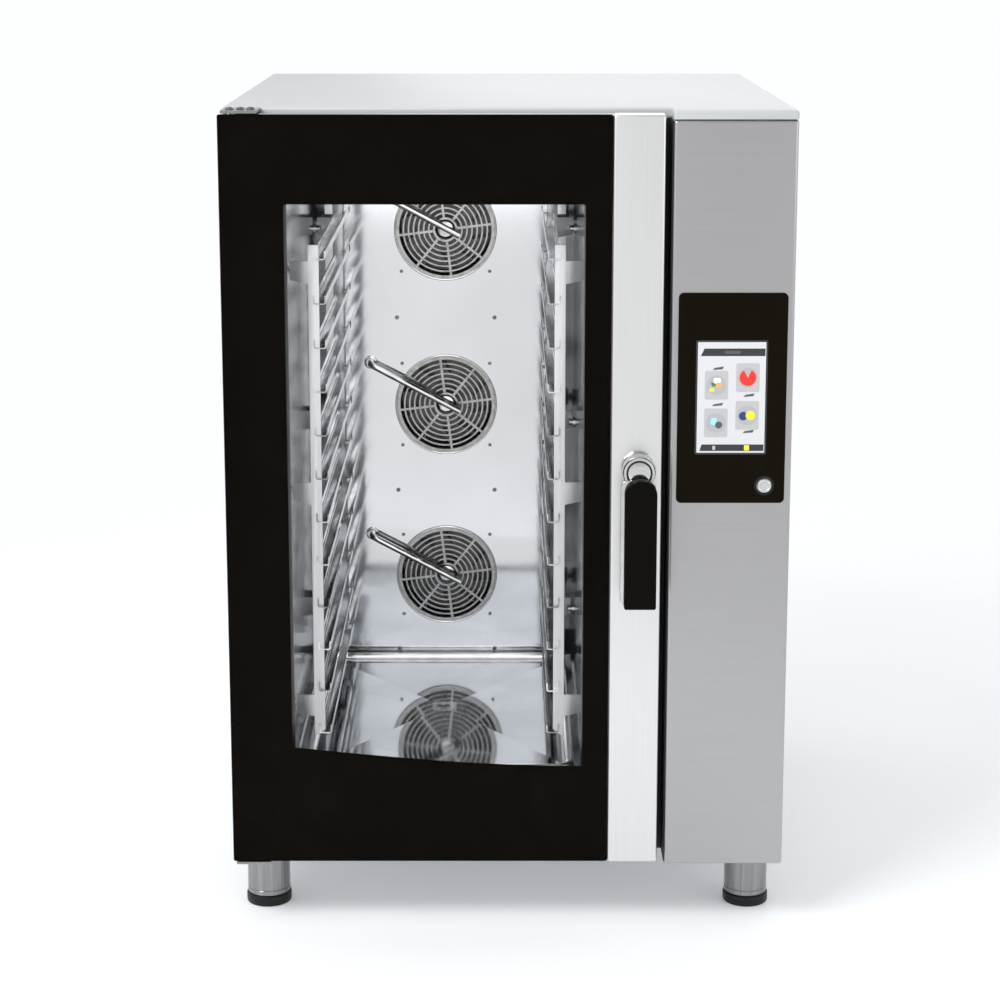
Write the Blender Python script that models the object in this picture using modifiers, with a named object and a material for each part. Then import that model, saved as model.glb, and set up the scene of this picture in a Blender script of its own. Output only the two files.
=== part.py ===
"""Combi steamer oven: floor-standing tall cabinet, one swinging glass door, control column on the right.

Metres, +Z up, front towards -Y, origin on the floor under the middle of the object.
"""

import math

import bmesh
import bpy
from mathutils import Matrix, Vector

# ---- overall size -----------------------------------------------------------------------------
HALF_WIDTH = 0.400
FRONT_Y = -0.400
BODY_FRONT_Y = -0.340
REAR_Y = 0.430
PIPE_END_Y = 0.460
BODY_BOTTOM = 0.095
COVER_SEAM = 1.178
TOP = 1.190
SHEET = 0.0015
GAP = 0.0003

# ---- door -------------------------------------------------------------------------------------
DOOR_RIGHT = 0.2176
DOOR_BOTTOM = 0.098
DOOR_TOP = 1.185
DOOR_BACK_Y = -0.350
GLASS_RIGHT = 0.1452
STRIP_LEFT = 0.1456
HINGE = (-0.382, -0.378)
DOOR_ORIGIN = (HINGE[0], HINGE[1], 0.640)

# ---- handle -----------------------------------------------------------------------------------
HANDLE = (0.184, 0.688)
HANDLE_ORIGIN = (HANDLE[0], -0.404, HANDLE[1])
GRIP_FRONT_Y = -0.460
LEVER_Y = (-0.437, -0.432)
GRIP_BOTTOM = 0.497

# ---- control column ---------------------------------------------------------------------------
COLUMN_LEFT = 0.2284
PANE_X = (0.2378, 0.3904)
PANE_Z = (0.638, 0.938)
SCREEN_X = (0.2665, 0.3598)
SCREEN_Z = (0.7115, 0.868)
BUTTON = (0.362, 0.6634)

# ---- cooking chamber --------------------------------------------------------------------------
CHAMBER_X = -0.1015
CHAMBER_HALF = 0.215
CHAMBER_FLOOR = 0.200
CHAMBER_CEILING = 1.085
CHAMBER_BACK_Y = 0.325
BAFFLE_Y = 0.250
FAN_Z = (0.352, 0.648, 0.944)
GRILLE_RADIUS = 0.0855
DRAIN_Z = 0.138
VENT = (0.020, 0.200, 1.130)

# ---- racks ------------------------------------------------------------------------------------
RAIL_COUNT = 12
LEDGE_NEAR, LEDGE_FAR = 0.1596, 0.1780
LEDGE_SHEET = 0.0016
LEDGE_LIP = 0.010
RAIL_PITCH = 0.0646
RAIL_LOWEST = 0.258
POST_Y = (-0.290, 0.230)
POST_Z = (0.253, 0.990)
TAB_Z = (0.300, 0.624, 0.950)

# ---- feet -------------------------------------------------------------------------------------
FOOT_X = 0.358
FOOT_Y = (-0.302, 0.340)
FOOT_TOP = 0.016


def clear_scene():
    for obj in list(bpy.data.objects):
        bpy.data.objects.remove(obj)


def new_collection(name, hidden):
    collection = bpy.data.collections.new(name)
    bpy.context.scene.collection.children.link(collection)
    collection.hide_render = hidden
    return collection


def make_material(name, colour, roughness, metallic):
    material = bpy.data.materials.new(name)
    material.use_nodes = True
    shader = material.node_tree.nodes["Principled BSDF"]
    shader.inputs["Base Color"].default_value = (*colour, 1.0)
    shader.inputs["Roughness"].default_value = roughness
    shader.inputs["Metallic"].default_value = metallic
    return material


# ---- outlines (lists of two-dimensional points) -----------------------------------------------
def rounded_rect(a0, a1, b0, b1, radius, steps=3):
    points = []
    corners = ((a1, b1, 0), (a0, b1, 90), (a0, b0, 180), (a1, b0, 270))
    for a, b, start in corners:
        centre_a = a - math.copysign(radius, a - (a0 + a1) / 2)
        centre_b = b - math.copysign(radius, b - (b0 + b1) / 2)
        for step in range(steps + 1):
            angle = math.radians(start + 90 * step / steps)
            a_now = centre_a + radius * math.cos(angle)
            b_now = centre_b + radius * math.sin(angle)
            points.append((a_now, b_now))
    return points


def sharp_rect(a0, a1, b0, b1):
    return [(a1, b1), (a0, b1), (a0, b0), (a1, b0)]


def circle(a, b, radius, steps=24):
    turns = [2 * math.pi * step / steps for step in range(steps)]
    return [(a + radius * math.cos(turn), b + radius * math.sin(turn)) for turn in turns]


def ring_sector(a, b, inner, outer, start, end, steps=2):
    """The outline of one curved slot, angles in degrees."""
    turns = [math.radians(start + (end - start) * step / steps) for step in range(steps + 1)]
    outside = [(a + outer * math.cos(turn), b + outer * math.sin(turn)) for turn in turns]
    inside = [(a + inner * math.cos(turn), b + inner * math.sin(turn)) for turn in turns]
    return outside + inside[::-1]


# ---- modelling helpers ------------------------------------------------------------------------
def settle(helper, name, material, collection, origin=(0, 0, 0)):
    """The helper object's evaluated shape as a mesh object with the given origin. The helper is removed."""
    bpy.context.view_layer.update()
    graph = bpy.context.evaluated_depsgraph_get()
    data = bpy.data.meshes.new_from_object(helper.evaluated_get(graph))
    data.transform(Matrix.Translation(-Vector(origin)) @ helper.matrix_world)
    bpy.data.objects.remove(helper)
    mesh = bmesh.new()
    mesh.from_mesh(data)
    bmesh.ops.remove_doubles(mesh, verts=mesh.verts[:], dist=0.00001)
    bmesh.ops.recalc_face_normals(mesh, faces=mesh.faces[:])
    mesh.to_mesh(data)
    mesh.free()
    data.name = name
    data.materials.clear()
    if material is not None:
        data.materials.append(material)
    obj = bpy.data.objects.new(name, data)
    obj.location = origin
    collection.objects.link(obj)
    return obj


def slab(name, outlines, axis, low, high, material=None, origin=(0, 0, 0)):
    """Flat outlines extruded from low to high along the axis. An outline inside another is a hole."""
    curve = bpy.data.curves.new(name, "CURVE")
    curve.dimensions = "2D"
    curve.fill_mode = "BOTH"
    curve.extrude = (high - low) / 2
    for outline in outlines:
        spline = curve.splines.new("POLY")
        spline.points.add(len(outline) - 1)
        spline.use_cyclic_u = True
        for point, (a, b) in zip(spline.points, outline):
            point.co = (a, b, 0, 1)
    guide = bpy.data.objects.new(name + "_outline", curve)
    middle = (low + high) / 2
    guide.location = {"X": (middle, 0, 0), "Y": (0, middle, 0), "Z": (0, 0, middle)}[axis]
    quarter = math.radians(90)
    guide.rotation_euler = {"X": (quarter, 0, quarter), "Y": (quarter, 0, 0), "Z": (0, 0, 0)}[axis]
    HELPERS.objects.link(guide)
    return settle(guide, name, material, OVEN if material else HELPERS, origin)


def boxes(name, spans, material=None, origin=(0, 0, 0)):
    """One or more boxes, each given as three (low, high) pairs."""
    mesh = bmesh.new()
    for span in spans:
        middle = Vector([(low + high) / 2 for low, high in span])
        size = [high - low for low, high in span]
        place = Matrix.Translation(middle) @ Matrix.Diagonal((*size, 1.0))
        bmesh.ops.create_cube(mesh, size=1.0, matrix=place)
    data = bpy.data.meshes.new(name + "_shape")
    mesh.to_mesh(data)
    mesh.free()
    guide = bpy.data.objects.new(name + "_shape", data)
    HELPERS.objects.link(guide)
    return settle(guide, name, material, OVEN if material else HELPERS, origin)


def turned(name, axis, centre, profile, material=None, origin=(0, 0, 0), steps=20):
    """A profile of (radius, position along the axis) turned round the axis by a Screw modifier."""
    data = bpy.data.meshes.new(name + "_profile")
    if axis == "Y":
        points = [(radius, along, 0) for radius, along in profile]
        place = (centre[0], 0, centre[1])
    else:
        points = [(radius, 0, along) for radius, along in profile]
        place = (centre[0], centre[1], 0)
    edges = [(i, i + 1) for i in range(len(points) - 1)]
    data.from_pydata(points, edges, [])
    guide = bpy.data.objects.new(name + "_profile", data)
    guide.location = place
    HELPERS.objects.link(guide)
    screw = guide.modifiers.new("turn", "SCREW")
    screw.axis = axis
    screw.steps = steps
    screw.render_steps = steps
    screw.use_merge_vertices = True
    screw.merge_threshold = 0.00001
    return settle(guide, name, material, OVEN if material else HELPERS, origin)


def place(axis, pair, along):
    a, b = pair
    return {"X": (along, a, b), "Y": (a, along, b), "Z": (a, b, along)}[axis]


def faces_out(data, axis, back, rim):
    """Whether the pan's flat face points away from its rim."""
    flat = max(data.polygons, key=lambda face: len(face.vertices))
    return flat.normal["XYZ".index(axis)] * (back - rim) > 0


def pan(name, outline, axis, back, rim, thickness, material, origin=(0, 0, 0)):
    """A sheet with a turned-up wall all round: a flat face at back, its edge drawn out to rim, solidified."""
    mesh = bmesh.new()
    corners = [mesh.verts.new(place(axis, pair, back)) for pair in outline]
    mesh.faces.new(corners)
    wall = bmesh.ops.extrude_edge_only(mesh, edges=mesh.edges[:])
    moved = [item for item in wall["geom"] if isinstance(item, bmesh.types.BMVert)]
    bmesh.ops.translate(mesh, verts=moved, vec=place(axis, (0, 0), rim - back))
    bmesh.ops.recalc_face_normals(mesh, faces=mesh.faces[:])
    data = bpy.data.meshes.new(name + "_sheet")
    mesh.to_mesh(data)
    mesh.free()
    guide = bpy.data.objects.new(name + "_sheet", data)
    HELPERS.objects.link(guide)
    sheet = guide.modifiers.new("sheet", "SOLIDIFY")
    sheet.thickness = thickness
    sheet.use_even_offset = True
    sheet.offset = -1 if faces_out(data, axis, back, rim) else 1
    return settle(guide, name, material, OVEN, origin)


def combine(obj, other, operation):
    other.hide_render = True
    other.display_type = "WIRE"
    modifier = obj.modifiers.new(operation.lower(), "BOOLEAN")
    modifier.operation = operation
    modifier.solver = "EXACT"
    modifier.object = other


def rounded_path(points, radius, steps=3):
    """The path with each corner replaced by a short arc."""
    path = [Vector(points[0])]
    for before, corner, after in zip(points, points[1:], points[2:]):
        corner = Vector(corner)
        start = corner + (Vector(before) - corner).normalized() * radius
        end = corner + (Vector(after) - corner).normalized() * radius
        for step in range(steps + 1):
            t = step / steps
            path.append(start * (1 - t) ** 2 + corner * 2 * t * (1 - t) + end * t**2)
    path.append(Vector(points[-1]))
    return path


def bar_along(name, path, radius, material=None):
    """A round bar following the path, capped at both ends."""
    curve = bpy.data.curves.new(name + "_path", "CURVE")
    curve.dimensions = "3D"
    curve.bevel_depth = radius
    curve.bevel_resolution = 2
    curve.use_fill_caps = True
    spline = curve.splines.new("POLY")
    spline.points.add(len(path) - 1)
    for point, position in zip(spline.points, path):
        point.co = (*position, 1.0)
    guide = bpy.data.objects.new(name + "_path", curve)
    HELPERS.objects.link(guide)
    return settle(guide, name, material, OVEN if material else HELPERS)


clear_scene()
OVEN = new_collection("combi_steamer_oven", False)
HELPERS = new_collection("helpers", True)

WHITE_METAL = make_material("cover_coat", (0.82, 0.84, 0.85), 0.35, 0.0)
SATIN = make_material("satin_steel", (0.60, 0.61, 0.62), 0.32, 1.0)
STRIP_METAL = make_material("strip_steel", (0.72, 0.72, 0.73), 0.28, 1.0)
LINER = make_material("chamber_steel", (0.66, 0.67, 0.68), 0.14, 1.0)
ZINC = make_material("zinc_sheet", (0.50, 0.51, 0.52), 0.45, 1.0)
BLACK_GLASS = make_material("door_glass", (0.012, 0.010, 0.008), 0.05, 0.0)
CLEAR_GLASS = make_material("inner_glass", (0.75, 0.80, 0.80), 0.03, 0.0)
PANEL_GLASS = make_material("panel_glass", (0.030, 0.024, 0.018), 0.08, 0.0)
SCREEN = make_material("screen", (0.010, 0.012, 0.016), 0.20, 0.0)
BOARD = make_material("circuit_board", (0.03, 0.16, 0.07), 0.45, 0.0)
SEAL = make_material("seal_rubber", (0.05, 0.05, 0.05), 0.60, 0.0)
BLACK_GRIP = make_material("grip_plastic", (0.012, 0.012, 0.013), 0.42, 0.0)
BLACK_FOOT = make_material("foot_plastic", (0.015, 0.015, 0.015), 0.50, 0.0)
CHROME = make_material("chrome", (0.80, 0.80, 0.80), 0.07, 1.0)
WOOL = make_material("insulation", (0.70, 0.64, 0.48), 0.90, 0.0)
MOTOR = make_material("motor_aluminium", (0.45, 0.46, 0.47), 0.50, 1.0)
HEATER = make_material("heater_tube", (0.30, 0.29, 0.28), 0.40, 1.0)
BRASS = make_material("brass", (0.72, 0.55, 0.26), 0.30, 1.0)
LAMP = make_material("lamp_glass", (0.85, 0.85, 0.80), 0.20, 0.0)


# ---- casing -----------------------------------------------------------------------------------
PANEL_TOP = COVER_SEAM - GAP
PANEL_BACK_Y = REAR_Y - SHEET - GAP
FRAME_BACK_Y = BODY_FRONT_Y + 0.002
INLET = (0.250, 0.170)
GLAND = (0.320, 0.170)

# The cover reaches further forward over the control column than over the door.
cover_plan = [
    (HALF_WIDTH, REAR_Y),
    (-HALF_WIDTH, REAR_Y),
    (-HALF_WIDTH, BODY_FRONT_Y),
    (COLUMN_LEFT, BODY_FRONT_Y),
    (COLUMN_LEFT, FRONT_Y),
    (HALF_WIDTH, FRONT_Y),
]
pan("top_cover", cover_plan, "Z", TOP, COVER_SEAM, SHEET, WHITE_METAL)


def side_panel(name, side):
    """A sheet with a flange turned in at the front edge, for the casing's left or right side."""
    outer = side * HALF_WIDTH
    inner = side * (HALF_WIDTH - SHEET)
    flange = side * (HALF_WIDTH - 0.014)
    front = FRAME_BACK_Y + 0.0006
    outline = [
        (outer, BODY_FRONT_Y),
        (outer, PANEL_BACK_Y),
        (inner, PANEL_BACK_Y),
        (inner, front + SHEET),
        (flange, front + SHEET),
        (flange, front),
        (inner, front),
        (inner, BODY_FRONT_Y),
    ]
    slab(name, [outline], "Z", BODY_BOTTOM, PANEL_TOP, SATIN)


side_panel("left_side_panel", -1)
side_panel("right_side_panel", 1)
slab(
    "back_panel",
    [
        sharp_rect(-HALF_WIDTH, HALF_WIDTH, BODY_BOTTOM, PANEL_TOP),
        circle(CHAMBER_X, DRAIN_Z, 0.0210),
        circle(VENT[0], VENT[2], 0.0170),
        circle(*INLET, 0.0110, 16),
        circle(*GLAND, 0.0135, 16),
    ],
    "Y",
    REAR_Y - SHEET,
    REAR_Y,
    SATIN,
)

INSIDE_X = HALF_WIDTH - SHEET - GAP
BASE_WALL = 0.020
pan(
    "base_pan",
    sharp_rect(-INSIDE_X, INSIDE_X, FRAME_BACK_Y + 0.0025, PANEL_BACK_Y),
    "Z",
    BODY_BOTTOM,
    BODY_BOTTOM + BASE_WALL,
    SHEET,
    ZINC,
)


def around_chamber(grow, radius, steps=3):
    """The chamber's rounded cross-section, made larger by grow on every side."""
    return rounded_rect(
        CHAMBER_X - CHAMBER_HALF - grow,
        CHAMBER_X + CHAMBER_HALF + grow,
        CHAMBER_FLOOR - grow,
        CHAMBER_CEILING + grow,
        radius,
        steps,
    )


front_outline = sharp_rect(-INSIDE_X, INSIDE_X, BODY_BOTTOM, PANEL_TOP)
slab(
    "front_frame",
    [front_outline, around_chamber(0, 0.020)],
    "Y",
    BODY_FRONT_Y,
    FRAME_BACK_Y,
    LINER,
)
slab(
    "door_gasket",
    [around_chamber(0.0200, 0.034), around_chamber(0.0100, 0.024)],
    "Y",
    DOOR_BACK_Y + GAP,
    BODY_FRONT_Y - GAP,
    SEAL,
)

# ---- cooking chamber --------------------------------------------------------------------------
DRAIN = (CHAMBER_X, -0.006)
SHAFT_HOLE = 0.0110
liner = pan(
    "cavity_liner",
    around_chamber(SHEET, 0.0215),
    "Y",
    CHAMBER_BACK_Y + SHEET,
    FRAME_BACK_Y + GAP,
    SHEET,
    LINER,
)
shaft_holes = slab(
    "shaft_holes",
    [circle(CHAMBER_X, fan_z, SHAFT_HOLE, 12) for fan_z in FAN_Z],
    "Y",
    CHAMBER_BACK_Y - 0.010,
    CHAMBER_BACK_Y + 0.010,
)
floor_hole = slab(
    "floor_hole", [circle(*DRAIN, 0.0180, 16)], "Z", CHAMBER_FLOOR - 0.030, CHAMBER_FLOOR + 0.005
)
ceiling_hole = slab(
    "ceiling_hole",
    [circle(VENT[0], VENT[1], 0.0140, 16)],
    "Z",
    CHAMBER_CEILING - 0.005,
    CHAMBER_CEILING + 0.030,
)
combine(liner, shaft_holes, "DIFFERENCE")
combine(liner, floor_hole, "DIFFERENCE")
combine(liner, ceiling_hole, "DIFFERENCE")

jacket = slab(
    "insulation_jacket",
    [around_chamber(0.0190, 0.038), around_chamber(0.0035, 0.0235)],
    "Y",
    BODY_FRONT_Y + 0.012,
    CHAMBER_BACK_Y,
    WOOL,
)
jacket_floor_hole = slab(
    "jacket_floor_hole",
    [circle(*DRAIN, 0.0225, 16)],
    "Z",
    CHAMBER_FLOOR - 0.030,
    CHAMBER_FLOOR + 0.005,
)
jacket_top_hole = slab(
    "jacket_top_hole",
    [circle(VENT[0], VENT[1], 0.0185, 16)],
    "Z",
    CHAMBER_CEILING - 0.005,
    CHAMBER_CEILING + 0.030,
)
combine(jacket, jacket_floor_hole, "DIFFERENCE")
combine(jacket, jacket_top_hole, "DIFFERENCE")

slab(
    "air_baffle",
    [
        rounded_rect(CHAMBER_X - 0.200, CHAMBER_X + 0.200, 0.206, 1.075, 0.010, 2),
        *[circle(CHAMBER_X, fan_z, GRILLE_RADIUS - 0.006) for fan_z in FAN_Z],
    ],
    "Y",
    BAFFLE_Y,
    BAFFLE_Y + SHEET,
    LINER,
)

GRILLE_RINGS = ((0.022, 0.034), (0.039, 0.051), (0.056, 0.068))
SPOKES = 8
SPOKE_ANGLE = 8
GRILLE_TURN = 11


def fan_grille(number, z):
    """A disc with an open middle and rings of curved slots between eight spokes."""
    outlines = [circle(CHAMBER_X, z, GRILLE_RADIUS), circle(CHAMBER_X, z, 0.017, 16)]
    pitch = 360 / SPOKES
    for inner, outer in GRILLE_RINGS:
        for spoke in range(SPOKES):
            start = GRILLE_TURN + spoke * pitch
            end = start + pitch - SPOKE_ANGLE
            outlines.append(ring_sector(CHAMBER_X, z, inner, outer, start, end))
    front = BAFFLE_Y - GAP - 0.0022
    slab(f"fan_grille_{number}", outlines, "Y", front, BAFFLE_Y - GAP, SATIN)


def fan_impeller(number, z):
    """A back plate with a hub and a shaft, and ten straight blades standing on the plate."""
    profile = [
        (0, 0.262),
        (0.012, 0.262),
        (0.018, 0.270),
        (0.018, 0.308),
        (0.076, 0.308),
        (0.076, 0.311),
        (0.008, 0.311),
        (0.007, 0.343),
        (0, 0.343),
    ]
    name = f"fan_impeller_{number}"
    centre = Vector((CHAMBER_X, z))
    wheel = turned(name, "Y", centre, profile, SATIN, (CHAMBER_X, 0.290, z))
    outlines = []
    for blade in range(10):
        turn = math.radians(36 * blade + 10)
        lean = math.radians(36 * blade + 24)
        inner_end = Vector((math.cos(turn), math.sin(turn))) * 0.046
        outer_end = Vector((math.cos(lean), math.sin(lean))) * 0.074
        side = (outer_end - inner_end).normalized().orthogonal() * 0.0011
        corners = (inner_end + side, outer_end + side, outer_end - side, inner_end - side)
        outlines.append([tuple(centre + corner) for corner in corners])
    combine(wheel, slab(name + "_blades", outlines, "Y", 0.266, 0.3095), "UNION")


def fan_motor(number, z):
    """A closed round motor with a bore for the shaft at its front."""
    profile = [
        (0, 0.348),
        (0.0080, 0.348),
        (0.0080, 0.331),
        (0.0400, 0.331),
        (0.0400, 0.338),
        (0.0550, 0.342),
        (0.0550, 0.418),
        (0.0480, 0.424),
        (0, 0.424),
    ]
    turned(f"fan_motor_{number}", "Y", (CHAMBER_X, z), profile, MOTOR)


def heating_element(number, z):
    """A ring of heater tube round the impeller, behind the baffle."""
    name = f"heating_element_{number}"
    bpy.ops.mesh.primitive_torus_add(
        major_radius=0.100,
        minor_radius=0.0045,
        major_segments=24,
        minor_segments=6,
        location=(CHAMBER_X, 0.285, z),
        rotation=(math.radians(90), 0, 0),
    )
    settle(bpy.context.object, name, HEATER, OVEN)


def injection_tube(number, z):
    """The thin water tube that crosses in front of the upper left half of a grille."""
    level = 0.228
    path = rounded_path(
        [
            (CHAMBER_X - 0.126, BAFFLE_Y - 0.001, z + 0.072),
            (CHAMBER_X - 0.126, level, z + 0.072),
            (CHAMBER_X + 0.024, level, z - 0.008),
        ],
        0.010,
    )
    bar_along(f"injection_tube_{number}", path, 0.0052, CHROME)


for number, fan_z in enumerate(FAN_Z, start=1):
    fan_grille(number, fan_z)
    fan_impeller(number, fan_z)
    fan_motor(number, fan_z)
    heating_element(number, fan_z)
    injection_tube(number, fan_z)

strainer_profile = [
    (0.0100, 0.190),
    (0.0155, 0.190),
    (0.0155, CHAMBER_FLOOR + GAP),
    (0.0300, CHAMBER_FLOOR + GAP),
    (0.0250, 0.2030),
    (0.0100, 0.2030),
    (0.0100, 0.190),
]
turned("drain_strainer", "Z", DRAIN, strainer_profile, SATIN, steps=16)


def rear_pipe(name, top, level, radius, wall, material):
    """A hollow pipe from a hole in the chamber to a stub behind the casing."""
    x, y, z = top
    path = rounded_path([(x, y, z), (x, y, level), (x, PIPE_END_Y, level)], radius * 1.6)
    away = math.copysign(0.01, z - level)
    bore_path = [Vector((x, y, z + away)), *path[1:-1], Vector((x, PIPE_END_Y + 0.01, level))]
    pipe = bar_along(name, path, radius, material)
    combine(pipe, bar_along(name + "_bore", bore_path, radius - wall), "DIFFERENCE")


drain_top = (*DRAIN, CHAMBER_FLOOR - SHEET - GAP)
rear_pipe("drain_pipe", drain_top, DRAIN_Z, 0.0195, 0.0022, SATIN)
vent_top = (VENT[0], VENT[1], CHAMBER_CEILING + SHEET + GAP)
rear_pipe("steam_vent_pipe", vent_top, VENT[2], 0.0155, 0.0020, SATIN)

inlet_profile = [
    (0, 0.400),
    (0.0100, 0.400),
    (0.0100, REAR_Y + GAP),
    (0.0220, REAR_Y + GAP),
    (0.0220, 0.4345),
    (0.0130, 0.4345),
    (0.0130, PIPE_END_Y - 0.001),
    (0.0095, PIPE_END_Y - 0.001),
    (0.0095, 0.442),
    (0, 0.442),
]
turned("water_inlet_valve", "Y", INLET, inlet_profile, BRASS, steps=16)
gland_profile = [
    (0, 0.412),
    (0.0120, 0.412),
    (0.0120, REAR_Y + GAP),
    (0.0180, REAR_Y + GAP),
    (0.0180, 0.444),
    (0.0140, 0.455),
    (0.0065, 0.455),
    (0.0065, 0.442),
    (0, 0.442),
]
turned("cable_gland", "Y", GLAND, gland_profile, BLACK_FOOT, steps=16)
lamp_profile = [
    (0, 1.0690),
    (0.0140, 1.0705),
    (0.0240, 1.0800),
    (0.0290, 1.0820),
    (0.0290, CHAMBER_CEILING - GAP),
    (0, CHAMBER_CEILING - GAP),
]
turned("cavity_lamp", "Z", (CHAMBER_X, -0.200), lamp_profile, LAMP, steps=16)


# ---- racks ------------------------------------------------------------------------------------
def rack(name, side):
    """Two upright strips joined by twelve ledges, with tabs that reach to the chamber wall."""

    def span(near, far):
        return tuple(sorted((CHAMBER_X + side * near, CHAMBER_X + side * far)))

    outlines = []
    for level in range(RAIL_COUNT):
        z = RAIL_LOWEST + RAIL_PITCH * level
        left, right = span(LEDGE_NEAR, LEDGE_FAR)
        inner, lip = (left, left + LEDGE_SHEET) if side > 0 else (right, right - LEDGE_SHEET)
        far = right if side > 0 else left
        top, floor = z + LEDGE_LIP, z + LEDGE_SHEET
        outline = [(inner, z), (inner, top), (lip, top), (lip, floor), (far, floor), (far, z)]
        outlines.append(outline)
    origin = (CHAMBER_X + side * 0.178, POST_Y[0], POST_Z[0])
    frame = slab(name, outlines, "Y", POST_Y[0] - 0.0035, POST_Y[1] + 0.0035, SATIN, origin)
    posts = []
    tabs = []
    for post_y in POST_Y:
        posts.append((span(0.1693, 0.1857), (post_y - 0.0015, post_y + 0.0015), POST_Z))
        for z in TAB_Z:
            across = (post_y - 0.0011, post_y + 0.0011)
            tabs.append((span(0.1830, 0.2120), across, (z - 0.017, z + 0.017)))
    combine(frame, boxes(name + "_posts", posts), "UNION")
    combine(frame, boxes(name + "_tabs", tabs), "UNION")


rack("rack_left", -1)
rack("rack_right", 1)

# ---- control column ---------------------------------------------------------------------------
column = pan(
    "control_front_panel",
    rounded_rect(COLUMN_LEFT, HALF_WIDTH, BODY_BOTTOM, PANEL_TOP, 0.0030, 2),
    "Y",
    FRONT_Y,
    BODY_FRONT_Y - GAP,
    SHEET,
    SATIN,
)
window = boxes(
    "column_window", [((0.2560, 0.3800), (FRONT_Y - 0.01, FRONT_Y + 0.01), (0.6460, 0.8800))]
)
combine(column, window, "DIFFERENCE")

PANE_BACK_Y = FRONT_Y - GAP
slab(
    "control_glass",
    [rounded_rect(*PANE_X, *PANE_Z, 0.0070), circle(*BUTTON, 0.0110, 20)],
    "Y",
    PANE_BACK_Y - 0.0026,
    PANE_BACK_Y,
    PANEL_GLASS,
)
SCREEN_RIM = 0.004
screen_span = (
    (SCREEN_X[0] - SCREEN_RIM, SCREEN_X[1] + SCREEN_RIM),
    (FRONT_Y, FRONT_Y + 0.0120),
    (SCREEN_Z[0] - SCREEN_RIM, SCREEN_Z[1] + SCREEN_RIM),
)
boxes("display_module", [screen_span], SCREEN)
board_span = ((0.2500, 0.3860), (FRONT_Y + 0.0230, FRONT_Y + 0.0246), (0.6200, 0.9300))
boxes("control_board", [board_span], BOARD)
button_profile = [
    (0, -0.4066),
    (0.0078, -0.4066),
    (0.0104, -0.4045),
    (0.0104, -0.3980),
    (0.0060, -0.3980),
    (0.0060, -0.3860),
    (0, -0.3860),
]
button_origin = (BUTTON[0], FRONT_Y, BUTTON[1])
turned("push_button", "Y", BUTTON, button_profile, CHROME, button_origin)

# ---- door -------------------------------------------------------------------------------------
GLASS_THICKNESS = 0.004
slab(
    "door_outer_glass",
    [rounded_rect(-HALF_WIDTH, GLASS_RIGHT, DOOR_BOTTOM, DOOR_TOP, 0.0030, 2)],
    "Y",
    FRONT_Y,
    FRONT_Y + GLASS_THICKNESS,
    BLACK_GLASS,
    DOOR_ORIGIN,
)

door_frame_outline = rounded_rect(
    -HALF_WIDTH + 0.0010,
    DOOR_RIGHT - SHEET - GAP,
    DOOR_BOTTOM + SHEET + 0.0004,
    DOOR_TOP - SHEET - 0.0004,
    0.0025,
    2,
)
door_frame = pan(
    "door_frame",
    door_frame_outline,
    "Y",
    DOOR_BACK_Y,
    FRONT_Y + GLASS_THICKNESS + GAP,
    SHEET,
    LINER,
    DOOR_ORIGIN,
)
rear_openings = slab(
    "rear_openings",
    [around_chamber(-0.0060, 0.018), circle(*HANDLE, 0.0065, 12)],
    "Y",
    DOOR_BACK_Y - 0.010,
    DOOR_BACK_Y + 0.010,
)
pin_holes = slab(
    "pin_holes", [circle(*HINGE, 0.0055, 12)], "Z", DOOR_BOTTOM - 0.010, DOOR_TOP + 0.010
)
combine(door_frame, rear_openings, "DIFFERENCE")
combine(door_frame, pin_holes, "DIFFERENCE")
INNER_GLASS_Y = DOOR_BACK_Y - SHEET - GAP
slab(
    "door_inner_glass",
    [around_chamber(0.0090, 0.010, 2)],
    "Y",
    INNER_GLASS_Y - GLASS_THICKNESS,
    INNER_GLASS_Y,
    CLEAR_GLASS,
    DOOR_ORIGIN,
)

strip = pan(
    "handle_strip",
    rounded_rect(STRIP_LEFT, DOOR_RIGHT, DOOR_BOTTOM, DOOR_TOP, 0.0030, 2),
    "Y",
    FRONT_Y,
    FRONT_Y + 0.0250,
    SHEET,
    STRIP_METAL,
    DOOR_ORIGIN,
)
# The strip's left wall is short, where it would meet the door frame.
left_wall = (
    (STRIP_LEFT - 0.0050, STRIP_LEFT + SHEET + 0.0010),
    (FRONT_Y + GLASS_THICKNESS, FRONT_Y + 0.0300),
    (DOOR_BOTTOM - 0.010, DOOR_TOP + 0.010),
)
combine(strip, boxes("strip_left_wall", [left_wall]), "DIFFERENCE")
spindle_hole = slab(
    "spindle_hole", [circle(*HANDLE, 0.0065, 12)], "Y", FRONT_Y - 0.0020, FRONT_Y + 0.0030
)
combine(strip, spindle_hole, "DIFFERENCE")
rosette_profile = [
    (0.0070, FRONT_Y - GAP),
    (0.0250, FRONT_Y - GAP),
    (0.0235, FRONT_Y - 0.0040),
    (0.0070, FRONT_Y - 0.0040),
    (0.0070, FRONT_Y - GAP),
]
turned("handle_rosette", "Y", HANDLE, rosette_profile, CHROME, DOOR_ORIGIN)


# ---- hinges -----------------------------------------------------------------------------------
def hinge_bracket(name, outer, inner, leg_end):
    """A plate that carries one pin, with a leg turned onto the front of the casing."""
    back = BODY_FRONT_Y - GAP
    front = FRONT_Y + 0.0020
    outline = [
        (back, leg_end),
        (back, outer),
        (front, outer),
        (front, inner),
        (back - 0.0020, inner),
        (back - 0.0020, leg_end),
    ]
    bracket = slab(name, [outline], "X", -0.3950, -0.3450, SATIN)
    low, high = sorted((outer, inner))
    hole = slab(name + "_hole", [circle(*HINGE, 0.0056, 12)], "Z", low - 0.01, high + 0.01)
    combine(bracket, hole, "DIFFERENCE")


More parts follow.
